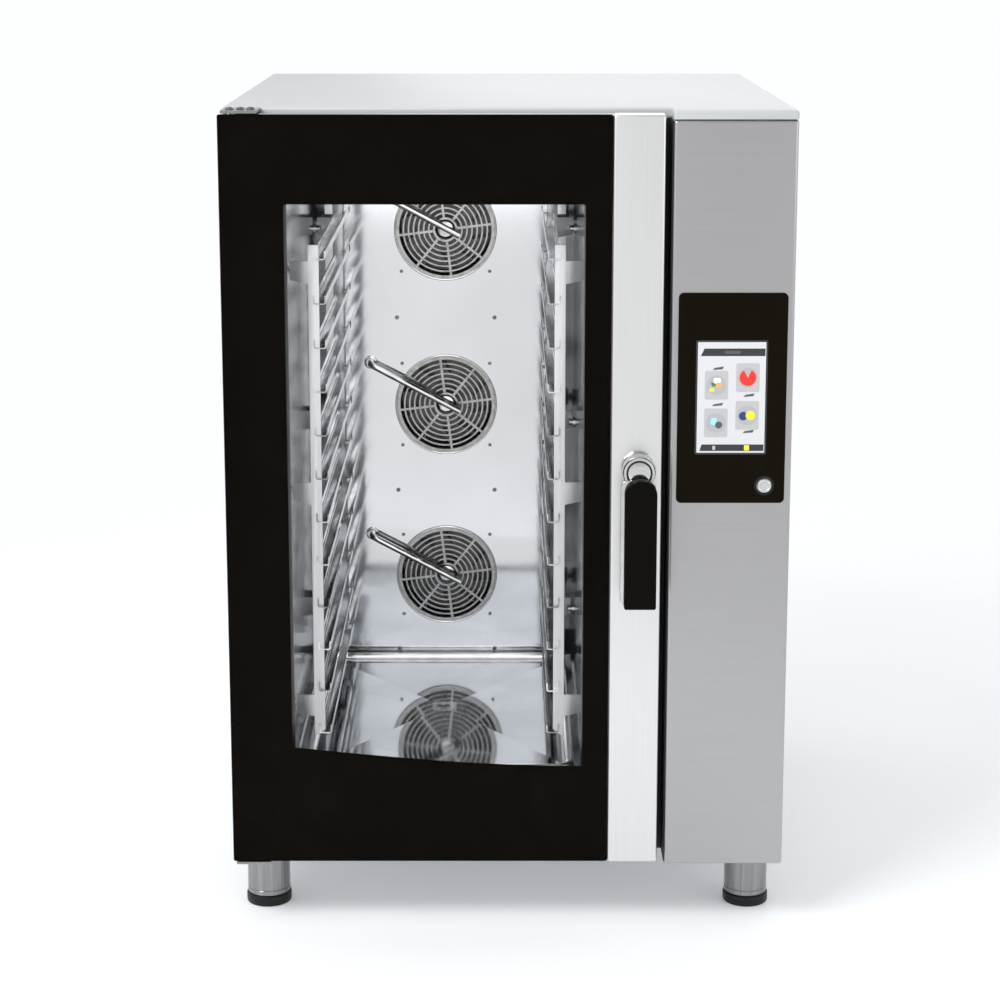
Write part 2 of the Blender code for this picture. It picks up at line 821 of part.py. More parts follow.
hinge_bracket("hinge_upper_bracket", TOP, DOOR_TOP + 0.0010, 1.140)
hinge_bracket("hinge_lower_bracket", 0.0940, DOOR_BOTTOM - 0.0005, 0.140)


def hinge_pin(name, low, high):
    profile = [(0, low), (0.0050, low), (0.0050, high), (0, high)]
    turned(name, "Z", HINGE, profile, SATIN, (*HINGE, low), 12)


hinge_pin("hinge_pin_upper", 1.150, TOP - GAP)
hinge_pin("hinge_pin_lower", 0.0940 + GAP, 0.130)

# ---- handle and latch -------------------------------------------------------------------------
GRIP_HALF = 0.0225
GRIP_X = 0.1855
GRIP_SHOULDER = 0.666
GRIP_CROWN = 0.016
grip_outline = [(GRIP_X - GRIP_HALF, GRIP_BOTTOM), (GRIP_X + GRIP_HALF, GRIP_BOTTOM)]
for step in range(9):
    angle = math.pi * step / 8
    across = GRIP_X + GRIP_HALF * math.cos(angle)
    grip_outline.append((across, GRIP_SHOULDER + GRIP_CROWN * math.sin(angle)))
grip = slab(
    "handle_grip",
    [grip_outline],
    "Y",
    GRIP_FRONT_Y,
    LEVER_Y[0] - 0.0005,
    BLACK_GRIP,
    HANDLE_ORIGIN,
)
edge = grip.modifiers.new("edge", "BEVEL")
edge.width = 0.0050
edge.segments = 2
edge.limit_method = "ANGLE"
edge.angle_limit = math.radians(50)

HUB_BACK_Y = FRONT_Y - 0.0045
hub_profile = [
    (0, HUB_BACK_Y),
    (0.0210, HUB_BACK_Y),
    (0.0230, HUB_BACK_Y - 0.0025),
    (0.0230, -0.4310),
    (0.0215, -0.4340),
    (0.0130, -0.4365),
    (0, -0.4372),
]
lever = turned("handle_lever", "Y", HANDLE, hub_profile, CHROME, HANDLE_ORIGIN)
plate_outline = rounded_rect(0.1580, 0.2070, GRIP_BOTTOM + 0.0010, 0.6780, 0.0080)
combine(lever, slab("lever_plate", [plate_outline], "Y", *LEVER_Y), "UNION")

SPINDLE_END_Y = -0.3465
spindle_profile = [
    (0, HUB_BACK_Y + GAP),
    (0.0055, HUB_BACK_Y + GAP),
    (0.0055, SPINDLE_END_Y),
    (0, SPINDLE_END_Y),
]
cam = turned("latch_cam", "Y", HANDLE, spindle_profile, ZINC, HANDLE_ORIGIN, 12)
CAM_RADIUS = 0.019
cam_outline = [(HANDLE[0], HANDLE[1] + 0.008)]
for step in range(9):
    angle = math.pi * step / 8
    across = HANDLE[0] - CAM_RADIUS * math.cos(angle)
    cam_outline.append((across, HANDLE[1] - CAM_RADIUS * math.sin(angle)))
combine(cam, slab("cam_plate", [cam_outline], "Y", -0.3495, -0.3455), "UNION")

striker_outline = [
    (0.2070, 0.6620),
    (0.2130, 0.6620),
    (0.2130, 0.7140),
    (0.2070, 0.7140),
    (0.2070, 0.7080),
    (0.2110, 0.7080),
    (0.2110, 0.6680),
    (0.2070, 0.6680),
]
slab("latch_striker", [striker_outline], "Y", -0.3470, BODY_FRONT_Y - GAP, SATIN)


# ---- feet -------------------------------------------------------------------------------------
def foot(place_name, x, y):
    """A tube under the casing, and a base whose stem slides in the tube."""
    tube_profile = [
        (0, 0.0800),
        (0.0292, 0.0800),
        (0.0292, FOOT_TOP + 0.0005),
        (0.0318, FOOT_TOP + 0.0005),
        (0.0318, 0.0905),
        (0.0360, 0.0905),
        (0.0360, BODY_BOTTOM - GAP),
        (0, BODY_BOTTOM - GAP),
    ]
    turned("leg_tube_" + place_name, "Z", (x, y), tube_profile, CHROME)
    base_profile = [
        (0, 0),
        (0.0320, 0),
        (0.0335, 0.0020),
        (0.0335, FOOT_TOP),
        (0.0286, FOOT_TOP),
        (0.0286, 0.0720),
        (0, 0.0720),
    ]
    turned("foot_base_" + place_name, "Z", (x, y), base_profile, BLACK_FOOT, (x, y, 0))


for side_name, side in (("left", -1), ("right", 1)):
    for end_name, foot_y in zip(("front", "rear"), FOOT_Y):
        foot(f"{end_name}_{side_name}", side * FOOT_X, foot_y)
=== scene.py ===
# %% [markdown]
# # A combi steamer oven, dressed round its engineering model
# The engineering model arrives first and never moves. Everything after it is either a better
# surface for one of its parts, or a new piece with rounded edges, screws and fine detail that
# takes the place of a plain part. Working round a fixed model keeps every size right.

# %% Load the engineering model
import math

import bpy
from mathutils import Matrix, Vector


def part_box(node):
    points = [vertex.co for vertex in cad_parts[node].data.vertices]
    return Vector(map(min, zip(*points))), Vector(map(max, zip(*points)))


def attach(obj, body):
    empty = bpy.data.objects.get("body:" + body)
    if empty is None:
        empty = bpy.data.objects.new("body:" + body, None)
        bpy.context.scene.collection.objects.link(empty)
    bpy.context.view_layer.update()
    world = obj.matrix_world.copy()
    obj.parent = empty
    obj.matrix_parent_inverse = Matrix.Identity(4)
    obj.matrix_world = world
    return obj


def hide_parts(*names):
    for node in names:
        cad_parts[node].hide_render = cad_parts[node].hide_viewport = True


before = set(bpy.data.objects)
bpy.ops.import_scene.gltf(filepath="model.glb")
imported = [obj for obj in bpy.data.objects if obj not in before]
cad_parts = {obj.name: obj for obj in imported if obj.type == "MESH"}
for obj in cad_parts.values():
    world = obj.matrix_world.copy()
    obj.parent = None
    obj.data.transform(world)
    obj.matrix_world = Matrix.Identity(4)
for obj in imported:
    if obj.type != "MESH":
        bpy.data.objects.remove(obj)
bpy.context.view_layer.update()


# %% [markdown]
# ## Small helpers for selecting and finishing
# Blender's operators act on whatever is selected, so each helper starts by selecting one thing
# only. A finished piece has its place in its mesh: its object stays at the origin, unturned.

# %% Selecting and finishing
def deselect_all():
    if bpy.context.mode != "OBJECT":
        bpy.ops.object.mode_set(mode="OBJECT")
    bpy.ops.object.select_all(action="DESELECT")


def select_only(obj):
    deselect_all()
    obj.select_set(True)
    bpy.context.view_layer.objects.active = obj


def named(name):
    obj = bpy.context.object
    obj.name = name
    obj.data.name = name
    return obj


def settle(obj, smooth_angle=32):
    """Apply the modifiers and the place, so that the object sits at the origin."""
    select_only(obj)
    for modifier in list(obj.modifiers):
        bpy.ops.object.modifier_apply(modifier=modifier.name)
    bpy.ops.object.transform_apply()
    bpy.ops.object.shade_smooth_by_angle(angle=math.radians(smooth_angle))
    return obj


def round_edges(obj, width, segments=2, angle=38):
    """Turn the sharp edges over, as a press brake or a polishing wheel leaves them."""
    select_only(obj)
    bevel = obj.modifiers.new("round_edges", "BEVEL")
    bevel.width = width
    bevel.segments = segments
    bevel.limit_method = "ANGLE"
    bevel.angle_limit = math.radians(angle)
    bpy.ops.object.modifier_apply(modifier=bevel.name)


def edit_faces(obj, wanted):
    """Enter edit mode with only the wanted faces selected."""
    select_only(obj)
    bpy.ops.object.mode_set(mode="EDIT")
    bpy.ops.mesh.select_mode(type="FACE")
    bpy.ops.mesh.select_all(action="DESELECT")
    bpy.ops.object.mode_set(mode="OBJECT")
    for face in obj.data.polygons:
        face.select = wanted(face)
    bpy.ops.object.mode_set(mode="EDIT")


# %% Cleaning, copying, joining and dressing
def faces_outward(obj):
    select_only(obj)
    bpy.ops.object.mode_set(mode="EDIT")
    bpy.ops.mesh.select_all(action="SELECT")
    bpy.ops.mesh.remove_doubles(threshold=0.00001)
    bpy.ops.mesh.normals_make_consistent(inside=False)
    bpy.ops.object.mode_set(mode="OBJECT")


def copy_of(obj, name, shift=(0, 0, 0)):
    """A copy with its own mesh, moved inside that mesh."""
    twin = obj.copy()
    twin.data = obj.data.copy()
    twin.name = name
    twin.data.name = name
    twin.data.transform(Matrix.Translation(shift))
    bpy.context.collection.objects.link(twin)
    return twin


def join_pieces(name, parts):
    deselect_all()
    for part in parts:
        part.select_set(True)
    bpy.context.view_layer.objects.active = parts[0]
    bpy.ops.object.join()
    return named(name)


def dress(obj, material, body, replaces=()):
    """Give a new piece its surface, the body it rides on and the parts it stands for."""
    obj.data.materials.clear()
    obj.data.materials.append(material)
    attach(obj, body)
    if replaces:
        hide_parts(*replaces)
    print(f"{obj.name}: {len(obj.data.polygons)} faces, on {body}")
    return obj


# %% [markdown]
# ## Four ways to start a piece
# Nearly everything on an oven is a folded box, a turned part, a flat cut sheet or a bent bar.
# Each has a helper: a cube that is opened on one side and given a wall, a disc that is extruded
# and resized step by step along its axis, a flat outline with thickness, and a bar along a path.

# %% Boxes and pans
def solid_box(name, low, high, edge=0.0, segments=2):
    low, high = Vector(low), Vector(high)
    deselect_all()
    bpy.ops.mesh.primitive_cube_add(size=1, location=(low + high) / 2)
    obj = named(name)
    obj.scale = high - low
    bpy.ops.object.transform_apply()
    if edge:
        round_edges(obj, edge, segments)
    return obj


def open_pan(name, low, high, open_side, edge, wall, segments=3):
    """A folded sheet box without the side that faces open_side."""
    obj = solid_box(name, low, high)
    open_side = Vector(open_side)
    edit_faces(obj, lambda face: face.normal.dot(open_side) > 0.9)
    bpy.ops.mesh.delete(type="FACE")
    bpy.ops.object.mode_set(mode="OBJECT")
    round_edges(obj, edge, segments)
    sheet = obj.modifiers.new("sheet", "SOLIDIFY")
    sheet.thickness = wall
    sheet.offset = -1
    sheet.use_even_offset = True
    bpy.ops.object.modifier_apply(modifier=sheet.name)
    return obj


# %% Turned parts
TURN = {"X": (0, math.radians(90), 0), "Y": (math.radians(-90), 0, 0), "Z": (0, 0, 0)}


def turned(name, axis, centre, profile, sides=40):
    """A disc extruded and resized through (radius, place along the axis) pairs."""
    deselect_all()
    bpy.ops.mesh.primitive_circle_add(vertices=sides, radius=profile[0][0], fill_type="NGON")
    obj = named(name)
    bpy.ops.object.mode_set(mode="EDIT")
    bpy.ops.mesh.select_all(action="SELECT")
    start = profile[0][1]
    for (radius, along), (next_radius, next_along) in zip(profile, profile[1:]):
        step = (0, 0, next_along - along)
        bpy.ops.mesh.extrude_region_move(TRANSFORM_OT_translate={"value": step})
        grow = next_radius / radius
        if abs(grow - 1) > 0.0001:
            middle = (0, 0, next_along - start)
            bpy.ops.transform.resize(value=(grow, grow, 1), center_override=middle)
    bpy.ops.object.mode_set(mode="OBJECT")
    obj.rotation_euler = TURN[axis]
    a, b = centre
    obj.location = {"X": (start, a, b), "Y": (a, start, b), "Z": (a, b, start)}[axis]
    bpy.ops.object.transform_apply()
    faces_outward(obj)
    return settle(obj)


def stepped(start, steps, direction=1):
    """A profile from (radius, distance) pairs, each distance measured from the start."""
    return [(radius, start + direction * along) for radius, along in steps]


# %% Flat cut sheets
LIE = {"X": (math.radians(90), 0, math.radians(90)), "Y": (math.radians(90), 0, 0), "Z": (0, 0, 0)}


def cut_sheet(name, outlines, axis, low, high, edge=0.0, segments=2):
    """Flat outlines with a thickness along the axis. An outline inside another is a hole."""
    curve = bpy.data.curves.new(name, "CURVE")
    curve.dimensions = "2D"
    curve.fill_mode = "BOTH"
    curve.extrude = (high - low) / 2
    for outline in outlines:
        spline = curve.splines.new("POLY")
        spline.points.add(len(outline) - 1)
        spline.use_cyclic_u = True
        for point, (a, b) in zip(spline.points, outline):
            point.co = (a, b, 0, 1)
    obj = bpy.data.objects.new(name, curve)
    bpy.context.collection.objects.link(obj)
    select_only(obj)
    bpy.ops.object.convert(target="MESH")
    obj = named(name)
    obj.rotation_euler = LIE[axis]
    middle = (low + high) / 2
    obj.location = {"X": (middle, 0, 0), "Y": (0, middle, 0), "Z": (0, 0, middle)}[axis]
    bpy.ops.object.transform_apply()
    faces_outward(obj)
    if edge:
        bpy.ops.object.mode_set(mode="EDIT")
        bpy.ops.mesh.dissolve_limited(angle_limit=math.radians(1))
        bpy.ops.object.mode_set(mode="OBJECT")
        round_edges(obj, edge, segments)
    return settle(obj)


def rounded_outline(a0, a1, b0, b1, radius, steps=6):
    corners = ((a1 - radius, b1 - radius, 0), (a0 + radius, b1 - radius, 90))
    corners += ((a0 + radius, b0 + radius, 180), (a1 - radius, b0 + radius, 270))
    points = []
    for a, b, start in corners:
        for step in range(steps + 1):
            turn = math.radians(start + 90 * step / steps)
            points.append((a + radius * math.cos(turn), b + radius * math.sin(turn)))
    return points


def round_outline(a, b, radius, steps=48):
    turns = [2 * math.pi * step / steps for step in range(steps)]
    return [(a + radius * math.cos(turn), b + radius * math.sin(turn)) for turn in turns]


# %% Bent bars
def bent_bar(name, points, radius, smoothness=4, cyclic=False):
    curve = bpy.data.curves.new(name, "CURVE")
    curve.dimensions = "3D"
    curve.bevel_depth = radius
    curve.bevel_resolution = smoothness
    curve.use_fill_caps = True
    spline = curve.splines.new("POLY")
    spline.points.add(len(points) - 1)
    spline.use_cyclic_u = cyclic
    for point, place in zip(spline.points, points):
        point.co = (*place, 1)
    obj = bpy.data.objects.new(name, curve)
    bpy.context.collection.objects.link(obj)
    select_only(obj)
    bpy.ops.object.convert(target="MESH")
    obj = named(name)
    faces_outward(obj)
    return settle(obj, 50)


def with_bends(points, radius, steps=6):
    """The path with its corners bent round."""
    path = [Vector(points[0])]
    for before, corner, after in zip(points, points[1:], points[2:]):
        corner = Vector(corner)
        start = corner + (Vector(before) - corner).normalized() * radius
        end = corner + (Vector(after) - corner).normalized() * radius
        for step in range(steps + 1):
            t = step / steps
            path.append(start * (1 - t) ** 2 + corner * 2 * t * (1 - t) + end * t**2)
    path.append(Vector(points[-1]))
    return path


def ring_bar(name, centre, radius, thickness, sides=72):
    """A round bar bent into a ring that faces the front."""
    x, y, z = centre
    path = [(a, y, b) for a, b in round_outline(x, z, radius, sides)]
    return bent_bar(name, path, thickness, 3, cyclic=True)


print("helpers ready")


# %% [markdown]
# ## Surfaces
# Each material reads Object coordinates, so its grain has a true size and stays put when the
# door swings. Brushed steel is a noise stretched along the brushing, which shifts the colour,
# the roughness and a very faint bump together, as real scratches do.

# %% Material helpers
def new_material(name):
    material = bpy.data.materials.new(name)
    material.use_nodes = True
    tree = material.node_tree
    return material, tree, tree.nodes["Principled BSDF"]


def noise(tree, stretch, detail=3.0, roughness=0.55):
    place = tree.nodes.new("ShaderNodeTexCoord")
    mapping = tree.nodes.new("ShaderNodeMapping")
    mapping.inputs["Scale"].default_value = stretch
    texture = tree.nodes.new("ShaderNodeTexNoise")
    texture.inputs["Scale"].default_value = 1.0
    texture.inputs["Detail"].default_value = detail
    texture.inputs["Roughness"].default_value = roughness
    tree.links.new(place.outputs["Object"], mapping.inputs["Vector"])
    tree.links.new(mapping.outputs["Vector"], texture.inputs["Vector"])
    return texture.outputs["Fac"]


def blend_colours(tree, factor, low_colour, high_colour, low=0.35, high=0.65):
    ramp = tree.nodes.new("ShaderNodeValToRGB")
    ramp.color_ramp.elements[0].position = low
    ramp.color_ramp.elements[0].color = (*low_colour, 1)
    ramp.color_ramp.elements[1].position = high
    ramp.color_ramp.elements[1].color = (*high_colour, 1)
    tree.links.new(factor, ramp.inputs["Fac"])
    return ramp.outputs["Color"]


def spread(tree, factor, low, high):
    spread_node = tree.nodes.new("ShaderNodeMapRange")
    spread_node.inputs["From Min"].default_value = 0.3
    spread_node.inputs["From Max"].default_value = 0.7
    spread_node.inputs["To Min"].default_value = low
    spread_node.inputs["To Max"].default_value = high
    tree.links.new(factor, spread_node.inputs["Value"])
    return spread_node.outputs["Result"]


def add_bump(tree, shader, factor, strength, distance):
    bump = tree.nodes.new("ShaderNodeBump")
    bump.inputs["Strength"].default_value = strength
    bump.inputs["Distance"].default_value = distance
    tree.links.new(factor, bump.inputs["Height"])
    tree.links.new(bump.outputs["Normal"], shader.inputs["Normal"])


def surface(name, colours, roughness, metallic, grain, bump=(0.0, 0.0), patches=None, **extra):
    """A Principled surface whose colour and roughness both follow one grain."""
    material, tree, shader = new_material(name)
    fine = noise(tree, grain)
    tree.links.new(blend_colours(tree, fine, *colours), shader.inputs["Base Color"])
    rough_source = noise(tree, patches, 2.0) if patches else fine
    rough = spread(tree, rough_source, *roughness)
    tree.links.new(rough, shader.inputs["Roughness"])
    shader.inputs["Metallic"].default_value = metallic
    for socket, value in extra.items():
        shader.inputs[socket.replace("_", " ")].default_value = value
    if bump[0]:
        add_bump(tree, shader, fine, *bump)
    return material


# %% The oven's own surfaces
def grey(value):
    return (value, value, value)


STRIP_STEEL = surface(
    "satin_strip_steel", (grey(0.735), grey(0.775)), (0.33, 0.37), 1.0, (900, 900, 5), (0.01, 0.0001)
)
COLUMN_STEEL = surface(
    "column_brushed_steel", ((0.424, 0.420, 0.428), (0.452, 0.448, 0.456)), (0.31, 0.36), 1.0,
    (5, 5, 1100), (0.01, 0.0001),
)
SIDE_STEEL = surface(
    "side_brushed_steel", (grey(0.46), grey(0.54)), (0.30, 0.40), 1.0, (700, 7, 700), (0.03, 0.0002)
)
COVER_STEEL = surface(
    "cover_sheet", ((0.515, 0.530, 0.545), (0.550, 0.565, 0.580)), (0.42, 0.52), 0.10, (7, 500, 500),
    (0.02, 0.0002), Specular_IOR_Level=0.2,
)

# %% Steel inside the chamber
# Partly painted reflection: the colour runs from a dark brownish to a bluish steel, standing in for the
# dark reflections on the polished walls, besides a random tone.
CHAMBER_STEEL = surface(
    "chamber_steel", ((0.110, 0.104, 0.100), (0.285, 0.296, 0.315)), (0.07, 0.15), 1.0, (7, 7, 3),
    (0.06, 0.003), (9, 9, 9),
)
MIRROR_STEEL = surface(
    "mirror_steel", ((0.655, 0.670, 0.695), (0.720, 0.735, 0.760)), (0.05, 0.10), 1.0, (3, 3, 3),
    (0.04, 0.002), (5, 5, 5),
)
FLOOR_STEEL = surface(
    "chamber_floor_steel", ((0.36, 0.375, 0.395), (0.44, 0.455, 0.475)), (0.04, 0.08), 1.0, (6, 6, 6),
    (0.03, 0.001), (8, 8, 8),
)
WIRE_STEEL = surface(
    "polished_wire", (grey(0.70), grey(0.84)), (0.10, 0.18), 1.0, (60, 60, 60), (0.02, 0.0002)
)
UPRIGHT_STEEL = surface(
    "rack_upright_steel", ((0.49, 0.50, 0.515), (0.57, 0.58, 0.595)), (0.30, 0.40), 0.85,
    (500, 500, 12), (0.02, 0.0002),
)
# Partly painted reflection: the colour runs from dark brownish streaks to bright bluish patches, standing
# in for the rails' reflections and highlights, besides a random tone.
RACK_STEEL = surface(
    "rack_steel_painted_reflection", ((0.22, 0.205, 0.195), (0.74, 0.76, 0.79)), (0.07, 0.13), 1.0, (26, 9, 34),
    (0.05, 0.0006), (40, 40, 40),
)
GUARD_STEEL = surface(
    "fan_guard_steel", (grey(0.30), grey(0.42)), (0.16, 0.26), 1.0, (90, 90, 90), (0.03, 0.0002)
)
FAN_STEEL = surface(
    "fan_wheel_steel", (grey(0.10), grey(0.17)), (0.30, 0.42), 0.9, (90, 90, 90), (0.05, 0.0004)
)
SCREW_STEEL = surface(
    "screw_steel", (grey(0.24), grey(0.34)), (0.22, 0.32), 1.0, (400, 400, 400), (0.04, 0.0002)
)
SATIN_SILVER = surface(
    "satin_silver", (grey(0.58), grey(0.68)), (0.28, 0.38), 0.85, (300, 300, 300), (0.03, 0.0002)
)
CHROME = surface("chrome", (grey(0.55), grey(0.66)), (0.05, 0.10), 1.0, (25, 25, 25))
FOOT_STEEL = surface(
    "foot_tube_steel", (grey(0.24), grey(0.34)), (0.14, 0.24), 1.0, (300, 300, 4), (0.03, 0.0003)
)
ZINC = surface("zinc_sheet", (grey(0.40), grey(0.54)), (0.40, 0.55), 0.9, (35, 35, 35), (0.05, 0.0005))

# %% Blacks, glass and the hidden parts
PRINT_BLACK = surface(
    "black_glass_print", ((0.0018, 0.0010, 0.0004), (0.0026, 0.0015, 0.0006)), (0.20, 0.30), 0.0,
    (8, 8, 8), Specular_IOR_Level=0.02,
)
GRIP_BLACK = surface(
    "grip_moulding", ((0.0022, 0.0015, 0.0008), (0.0034, 0.0025, 0.0014)), (0.34, 0.44), 0.0,
    (900, 900, 900), (0.10, 0.0002), Specular_IOR_Level=0.06,
)
FOOT_BLACK = surface(
    "foot_moulding", ((0.004, 0.004, 0.004), (0.010, 0.010, 0.010)), (0.36, 0.48), 0.0, (700, 700, 700),
    (0.10, 0.0003), Specular_IOR_Level=0.3,
)
SEAL_BLACK = surface(
    "door_seal", ((0.018, 0.018, 0.020), (0.034, 0.034, 0.037)), (0.55, 0.70), 0.0, (300, 300, 300),
    (0.1, 0.0003), Specular_IOR_Level=0.3,
)
PANEL_GLASS = surface(
    "control_panel_glass", ((0.0050, 0.0030, 0.0010), (0.0066, 0.0042, 0.0014)), (0.10, 0.15), 0.0,
    (6, 6, 6), Specular_IOR_Level=0.05,
)
BOARD_GREEN = surface(
    "board_lacquer", ((0.02, 0.12, 0.05), (0.03, 0.18, 0.08)), (0.35, 0.5), 0.0, (200, 200, 200)
)
WOOL = surface(
    "mineral_wool", ((0.55, 0.48, 0.32), (0.75, 0.69, 0.50)), (0.85, 0.95), 0.0, (120, 120, 120),
    (0.5, 0.004),
)
MOTOR_CAST = surface(
    "motor_casting", (grey(0.36), grey(0.46)), (0.45, 0.6), 1.0, (180, 180, 180), (0.2, 0.0006)
)
HEATER = surface(
    "heater_tube", ((0.08, 0.07, 0.06), (0.16, 0.14, 0.12)), (0.35, 0.5), 1.0, (40, 40, 40),
    (0.1, 0.0005),
)
BRASS = surface(
    "brass", ((0.58, 0.42, 0.18), (0.74, 0.57, 0.28)), (0.22, 0.34), 1.0, (90, 90, 90), (0.03, 0.0003)
)
LAMP_GLASS = surface(
    "frosted_lamp_glass", (grey(0.80), grey(0.92)), (0.2, 0.3), 0.0, (30, 30, 30),
    Emission_Strength=0.6, Emission_Color=(1, 0.96, 0.9, 1),
)
DARK_GAP = surface("shadow_steel", (grey(0.01), grey(0.02)), (0.4, 0.6), 0.3, (30, 30, 30))


def clear_glass(name, tint, alpha):
    """Thin clear glass: mostly see-through, with a light sheen."""
    return surface(name, (tint, tint), (0.03, 0.06), 0.0, (5, 5, 5), Alpha=alpha)


DOOR_GLASS = clear_glass("door_glass", (0.003, 0.003, 0.003), 0.03)
INNER_GLASS = clear_glass("inner_door_glass", (0.020, 0.024, 0.024), 0.04)

CAD_SURFACES = {
    "left_side_panel": SIDE_STEEL,
    "right_side_panel": SIDE_STEEL,
    "back_panel": SIDE_STEEL,
    "base_pan": ZINC,
    "front_frame": COLUMN_STEEL,
    "cavity_liner": CHAMBER_STEEL,
    "air_baffle": MIRROR_STEEL,
    "insulation_jacket": WOOL,
    "drain_strainer": WIRE_STEEL,
    "drain_pipe": FOOT_STEEL,
    "steam_vent_pipe": FOOT_STEEL,
    "water_inlet_valve": BRASS,
    "cable_gland": FOOT_BLACK,
    "cavity_lamp": LAMP_GLASS,
    "door_outer_glass": DOOR_GLASS,
    "door_inner_glass": INNER_GLASS,
    "door_frame": COLUMN_STEEL,
    "hinge_upper_bracket": SCREW_STEEL,
    "hinge_lower_bracket": SCREW_STEEL,
    "hinge_pin_upper": WIRE_STEEL,
    "hinge_pin_lower": WIRE_STEEL,
    "latch_striker": WIRE_STEEL,
    "latch_cam": ZINC,
    "handle_rosette": CHROME,
    "control_board": BOARD_GREEN,
    "display_module": DARK_GAP,
}
for number in (1, 2, 3):
    CAD_SURFACES[f"fan_impeller_{number}"] = FAN_STEEL
    CAD_SURFACES[f"fan_motor_{number}"] = MOTOR_CAST
    CAD_SURFACES[f"heating_element_{number}"] = HEATER
for node_name, material in CAD_SURFACES.items():
    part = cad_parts[node_name]
    part.data.materials.clear()
    part.data.materials.append(material)
print("surfaces on", len(CAD_SURFACES), "engineering parts")


# %% [markdown]
# ## The folded cover
# The cover is one sheet with its edge folded down, and it steps forward over the control column.
# A cube is cut at the column's line, that end face is drawn forward, and the bottom is opened
# before the folds are rounded and the sheet gets its thickness.

# %% Cover
SHEET = 0.0015
COVER_FOLD = 0.0032
cover_low, cover_high = map(Vector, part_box("top_cover"))
column_low, column_high = map(Vector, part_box("control_front_panel"))
body_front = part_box("front_frame")[0][1]
cover = solid_box("cover", (cover_low.x, body_front, cover_low.z), cover_high)
edit_faces(cover, lambda face: True)
bpy.ops.mesh.bisect(plane_co=(column_low.x, 0, 0), plane_no=(1, 0, 0))
bpy.ops.object.mode_set(mode="OBJECT")
edit_faces(cover, lambda face: face.normal.y < -0.9 and face.center.x > column_low.x)
forward = (0, cover_low.y - body_front, 0)
bpy.ops.mesh.extrude_region_move(TRANSFORM_OT_translate={"value": forward})
edit_faces(cover, lambda face: face.normal.z < -0.9)
bpy.ops.mesh.delete(type="FACE")
bpy.ops.object.mode_set(mode="OBJECT")
round_edges(cover, COVER_FOLD, 3)
cover_sheet = cover.modifiers.new("sheet", "SOLIDIFY")
cover_sheet.thickness = SHEET
cover_sheet.offset = -1
settle(cover)
dress(cover, COVER_STEEL, "casing", ["top_cover"])

# %% [markdown]
# ## The control column
# A tall folded box stands beside the door. Its upright edges are bent on a generous radius, which
# is where the bright lines of a stainless front come from.

# %% Column panel
COLUMN_FOLD = 0.0045
column = open_pan("column_panel", column_low, column_high, (0, 1, 0), COLUMN_FOLD, SHEET, 4)
settle(column)
dress(column, COLUMN_STEEL, "casing", ["control_front_panel"])

# %% Control glass, with its hole for the button
glass_low, glass_high = map(Vector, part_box("control_glass"))
button_low, button_high = map(Vector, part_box("push_button"))
button_x = (button_low.x + button_high.x) / 2
button_z = (button_low.z + button_high.z) / 2
HOLE_RADIUS = 0.0112
pane_edge = rounded_outline(glass_low.x, glass_high.x, glass_low.z, glass_high.z, 0.007)
button_hole = round_outline(button_x, button_z, HOLE_RADIUS)
control_glass = cut_sheet("control_pane", [pane_edge, button_hole], "Y", glass_low.y, glass_high.y, 0.0006)
dress(control_glass, PANEL_GLASS, "casing", ["control_glass"])

# %% [markdown]
# ## The touch screen
# The screen shows a plain home page: a title bar, round icons with a coloured shape each, a short
# label mark above or below each, and a bar at the foot. Each is its own thin sheet on the glass, because a
# sheet keeps a crisp edge at any distance. Nothing on it is a word or a mark.

# %% Screen colours
def glowing(name, colour, strength=0.55):
    """A lit screen element with a trace of the display's fine grid."""
    darker = tuple(value * 0.94 for value in colour)
    glow = {"Emission_Color": (*colour, 1), "Emission_Strength": strength}
    return surface(name, (darker, colour), (0.25, 0.3), 0.0, (2500, 2500, 2500), **glow)


SCREEN_WHITE = glowing("screen_ground", (0.66, 0.665, 0.69), 0.15)
SCREEN_PALE = glowing("screen_panel", (0.50, 0.50, 0.52), 0.12)
SCREEN_BAR = glowing("screen_bar", (0.030, 0.032, 0.038), 0.05)
ICON_GROUND = glowing("icon_ground", (0.44, 0.44, 0.46), 0.12)
LABEL_GREY = glowing("label_grey", (0.10, 0.10, 0.11), 0.05)
ICON_WHITE = glowing("icon_white", (0.90, 0.90, 0.90), 0.3)
ICON_ORANGE = glowing("icon_orange", (0.80, 0.38, 0.12), 0.3)
ICON_GREEN = glowing("icon_green", (0.03, 0.22, 0.10), 0.2)
ICON_YELLOW = glowing("icon_yellow", (0.90, 0.70, 0.03), 0.3)
ICON_RED = glowing("icon_red", (0.78, 0.03, 0.015), 0.3)
ICON_CYAN = glowing("icon_cyan", (0.30, 0.70, 0.80), 0.3)
ICON_BLUE = glowing("icon_blue", (0.01, 0.05, 0.20), 0.2)

# %% Screen elements
screen_low, screen_high = map(Vector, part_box("display_module"))
screen_w = screen_high.x - screen_low.x
screen_h = screen_high.z - screen_low.z
glass_front = glass_low.y
LAYER = 0.00006


def on_screen(name, outline, layer, material):
    """One thin sheet on the glass, layer 1 being the lowest."""
    back = glass_front - LAYER * (layer - 1)
    piece = cut_sheet(name, [outline], "Y", back - LAYER, back)
    return dress(piece, material, "casing")


def at(u, v):
    """A place on the screen, from its left and bottom edges, both from 0 to 1."""
    return screen_low.x + u * screen_w, screen_low.z + v * screen_h


def bar_outline(u0, u1, v0, v1, radius=0.001):
    (a0, b0), (a1, b1) = at(u0, v0), at(u1, v1)
    return rounded_outline(a0, a1, b0, b1, radius, 3)


def slanted_bar(u0, u1, v0, v1, slant=0.05):
    """A bar whose left end leans, as the title bars of such a page do."""
    return [at(u0, v0), at(u1, v0), at(u1, v1), at(u0 + slant, v1)]


